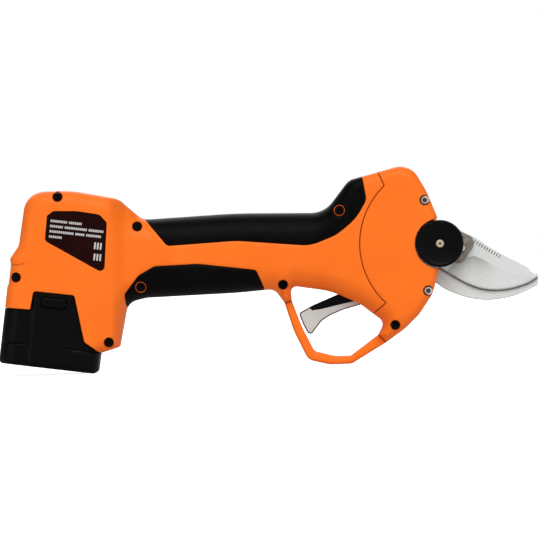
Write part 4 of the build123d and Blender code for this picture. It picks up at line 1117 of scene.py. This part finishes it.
# %% Grow pieces on places
def grown(name, tree, places, sizes, finish, body, replaced=(), socket=None):
    """Pieces that a node tree puts on places in millimetres, as one plain mesh that rides on a body."""
    seed = bpy.data.meshes.new(name)
    seed.from_pydata([Vector(p) * MM for p in places], [], [])
    obj = linked(name, seed)
    modifier = obj.modifiers.new("grow", "NODES")
    modifier.node_group = tree
    known = {i.name: i.identifier for i in tree.interface.items_tree
             if i.item_type == "SOCKET" and i.in_out == "INPUT"}
    for key, value in sizes.items():
        modifier[known[key]] = value
    modifier[known["Finish"]] = bpy.data.materials[finish]
    applied(obj)
    bm = bmesh.new()
    bm.from_mesh(obj.data)
    bmesh.ops.recalc_face_normals(bm, faces=bm.faces)
    bm.to_mesh(obj.data)
    bm.free()
    obj.data.shade_smooth()
    obj.data.set_sharp_from_angle(angle=math.radians(25))
    # Painted shade: the inside of each hexagon socket is marked for its finish's darker colour, where shade falls in
    # the recess.
    if socket is not None:
        radius, height = socket
        spots = np.array(places)
        mark = obj.data.attributes.new("seam", "FLOAT", "POINT")
        for v, value in zip(obj.data.vertices, mark.data):
            x, y, z = v.co / MM
            reach = np.hypot(spots[:, 0] - x, spots[:, 2] - z)
            near = int(reach.argmin())
            value.value = float(reach[near] < radius + 0.05 and y > spots[near, 1] - height + 0.1)
    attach(obj, body)
    if replaced:
        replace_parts(obj, *replaced)
    print(name, "places:", len(places), "triangles:", sum(len(p.vertices) - 2 for p in obj.data.polygons))
    return coat(obj, finish)


# %% Screws
grown("deep_screws", SCREWS, [(s[0], -seat, s[1]) for s, seat in deep_screws],
      {"Head Radius": 2.9 * MM, "Head Height": HEAD_HEIGHT * MM, "Socket Radius": 1.45 * MM,
       "Socket Depth": 1.5 * MM, "Shank Radius": 1.4 * MM, "Shank Length": 16 * MM},
      "black_screw", "tool", ["housing_screws"], (1.45, HEAD_HEIGHT))
grown("cover_screws", SCREWS, [(s[0], -seat, s[1]) for s, seat in cover_screws],
      {"Head Radius": 2.75 * MM, "Head Height": COVER_HEAD_HEIGHT * MM, "Socket Radius": 1.75 * MM,
       "Socket Depth": 1.8 * MM, "Shank Radius": 1.4 * MM, "Shank Length": 24 * MM},
      "screw_steel", "tool", ["head_cover_screws"], (1.75, COVER_HEAD_HEIGHT))
DISC_SCREW_SEAT = -19.6
grown("disc_screw", SCREWS, [(PIVOT[0], DISC_SCREW_SEAT, PIVOT[1])],
      {"Head Radius": 2.6 * MM, "Head Height": 1.7 * MM, "Socket Radius": 1.2 * MM,
       "Socket Depth": 1.0 * MM, "Shank Radius": 1.45 * MM, "Shank Length": 9 * MM},
      "bronze", "tool", ["cap_screw"], (1.2, 1.7))

# %% Printed blocks on the label
PRINT_ROWS = [[9, 7], [7, 12, 8], [13, 5, 8], [7]]
PRINT_START, PRINT_PITCH, ROW_PITCH = (-139.4, 100.0), 1.22, 3.4
down, along = (-math.sin(LEAN), -math.cos(LEAN)), (math.cos(LEAN), -math.sin(LEAN))
places = []
for row, words in enumerate(PRINT_ROWS):
    step = 0.5
    for word in words:
        for _ in range(word):
            places.append((PRINT_START[0] + along[0] * step * PRINT_PITCH + down[0] * row * ROW_PITCH, LABEL_OUT,
                           PRINT_START[1] + along[1] * step * PRINT_PITCH + down[1] * row * ROW_PITCH))
            step += 1
        step += 0.8
grown("label_print", BLOCKS, places,
      {"Width": 0.92 * MM, "Height": 1.6 * MM, "Corner": 0.25 * MM, "Thickness": 0.06 * MM, "Lean": LEAN},
      "print_white", "tool")
mark_spots = [(x + along[0] * step, LABEL_OUT, z + along[1] * step)
              for x, z in ((-109.4, 82.4), (-110.0, 75.2)) for step in (-1.9, 0.0, 1.9)]
grown("label_marks", BLOCKS, mark_spots,
      {"Width": 1.1 * MM, "Height": 4.6 * MM, "Corner": 0.5 * MM, "Thickness": 0.06 * MM, "Lean": LEAN},
      "print_white", "tool")

# %% Ticks etched in the blade, and ribs on the latch buttons
TICKS, TICK_START, TICK_END = 11, (135.4, 76.4), (151.0, 66.4)
share = np.linspace(0, 1, TICKS)
tick_lean = math.atan2(TICK_START[1] - TICK_END[1], TICK_END[0] - TICK_START[0])
grown("etched_ticks", BLOCKS, [(TICK_START[0] + s * (TICK_END[0] - TICK_START[0]), BLADE_FRONT,
                                TICK_START[1] + s * (TICK_END[1] - TICK_START[1])) for s in share],
      {"Width": 0.7 * MM, "Height": 2.3 * MM, "Corner": 0.15 * MM, "Thickness": 0.03 * MM, "Lean": tick_lean},
      "etched_mark", "cutter")
for side, tag in ((-1, "right"), (1, "left")):
    ribs = [leaning(LATCH_P + dp, LATCH_Q) for dp in (-5.4, -2.7, 0.0, 2.7, 5.4)]
    level = -26.45 if side < 0 else 26.45 + 0.3
    grown(f"latch_ribs_{tag}", BLOCKS, [(x, level, z) for x, z in ribs],
          {"Width": 1.0 * MM, "Height": 4.4 * MM, "Corner": 0.45 * MM, "Thickness": 0.3 * MM, "Lean": LEAN},
          "dark_plastic", f"latch_{tag}")

# %% [markdown]
# ## Mechanical pieces that show
# The pivot bolt, its nut, the toothed driver, the frame and the rest already have their true shapes. A smooth-shaded
# copy with its loose triangles merged stands for each one, so round surfaces look round.

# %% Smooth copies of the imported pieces
def smooth_copy(node, sharp=32.0):
    """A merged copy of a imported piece, shaded smooth between its sharp edges."""
    source = nodes[node]
    bm = bmesh.new()
    bm.from_mesh(source.data)
    bmesh.ops.remove_doubles(bm, verts=bm.verts, dist=1e-6)
    bmesh.ops.dissolve_degenerate(bm, dist=1e-7, edges=bm.edges)
    if node == "sector_gear":
        for v in bm.verts:
            reach = Vector((v.co.x / MM - PIVOT[0], v.co.z / MM - PIVOT[1]))
            turn = math.degrees(math.atan2(reach.y, reach.x))
            if reach.length > 13.2 and 10 < turn < 80:
                lower = 1 - 0.14 * math.sin(math.pi * (turn - 10) / 70)
                v.co.x, v.co.z = ((c + lower * r) * MM for c, r in zip(PIVOT, reach))
    mesh = bpy.data.meshes.new(f"{node}_finished")
    bm.to_mesh(mesh)
    bm.free()
    mesh.shade_smooth()
    mesh.set_sharp_from_angle(angle=math.radians(sharp))
    obj = linked(f"{node}_finished", mesh)
    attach(obj, body_of(source)[0])
    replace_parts(obj, node)
    return coat(obj, slot_of[node])


drawn = {name for row in bpy.data.objects for name in row.get("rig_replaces", [])}
for node in nodes:
    if node not in drawn:
        smooth_copy(node)
print("copied:", len(nodes) - len(drawn))

# %% [markdown]
# ## Studio
# A plain pale floor and a white surround. The light is one very wide, soft sun from above and in front, like a large
# panel, with a weaker one behind and a strip on each side. The surround looks white to the camera and lights gently.

# %% Floor, lights and camera
floor_mesh = bpy.data.meshes.new("floor")
floor_mesh.from_pydata([(-30, -30, 0), (30, -30, 0), (30, 30, 0), (-30, 30, 0)], [], [(0, 1, 2, 3)])
floor_obj = linked("floor", floor_mesh)
floor_paint, floor_tree, floor_shader = finish_base("pale_floor", (0.7, 0.7, 0.7), 0.9, 0.0, 0.1)
floor_mesh.materials.append(floor_paint)
floor_seen = floor_tree.nodes.new("ShaderNodeLightPath")
lift = math_node(floor_tree, "MULTIPLY", floor_seen.outputs["Is Camera Ray"], 0.8)
floor_shader.inputs["Emission Color"].default_value = (1, 1, 1, 1)
floor_tree.links.new(lift, floor_shader.inputs["Emission Strength"])

world = bpy.data.worlds.new("surround")
world.use_nodes = True
sky = world.node_tree
soft_light = sky.nodes["Background"]
soft_light.inputs["Color"].default_value = (1, 1, 1, 1)
soft_light.inputs["Strength"].default_value = 0.24
backdrop = sky.nodes.new("ShaderNodeBackground")
backdrop.inputs["Color"].default_value = (1, 1, 1, 1)
backdrop.inputs["Strength"].default_value = 1.0
seen = sky.nodes.new("ShaderNodeLightPath")
choose = sky.nodes.new("ShaderNodeMixShader")
sky.links.new(seen.outputs["Is Camera Ray"], choose.inputs[0])
sky.links.new(soft_light.outputs[0], choose.inputs[1])
sky.links.new(backdrop.outputs[0], choose.inputs[2])
sky.links.new(choose.outputs[0], sky.nodes["World Output"].inputs["Surface"])
bpy.context.scene.world = world


def add_sun(name, direction, power, spread):
    """A sun that shines along a direction, as soft as its spread in degrees."""
    data = bpy.data.lights.new(name, "SUN")
    data.energy = power
    data.angle = math.radians(spread)
    obj = bpy.data.objects.new(name, data)
    obj.rotation_euler = Vector(direction).to_track_quat("-Z", "Y").to_euler()
    bpy.context.scene.collection.objects.link(obj)


add_sun("panel", (-0.1, 0.75, -0.78), 2.1, 50)
add_sun("back panel", (0.1, -0.75, -0.6), 1.3, 50)
add_sun("left strip", (0.75, 0.7, -0.2), 0.34, 24)
add_sun("right strip", (-0.75, 0.7, -0.2), 0.34, 24)
bpy.context.scene.view_settings.view_transform = "Standard"

TILT, VIEW_WIDTH, VIEW_PLANE = math.radians(2.1), 0.351, 0.012
LENS, SENSOR_WIDTH = 300, 36  # a long lens, so the side view is nearly flat
camera_data = bpy.data.cameras.new("camera")
camera_data.lens = LENS
camera_data.sensor_width = SENSOR_WIDTH
camera_data.clip_end = 100
camera = bpy.data.objects.new("camera", camera_data)
reach = VIEW_WIDTH * camera_data.lens / camera_data.sensor_width + VIEW_PLANE
camera.location = (0.0013, -reach, 0.0629)
camera.rotation_euler = (math.radians(90), TILT, 0)
bpy.context.scene.collection.objects.link(camera)
bpy.context.scene.camera = camera
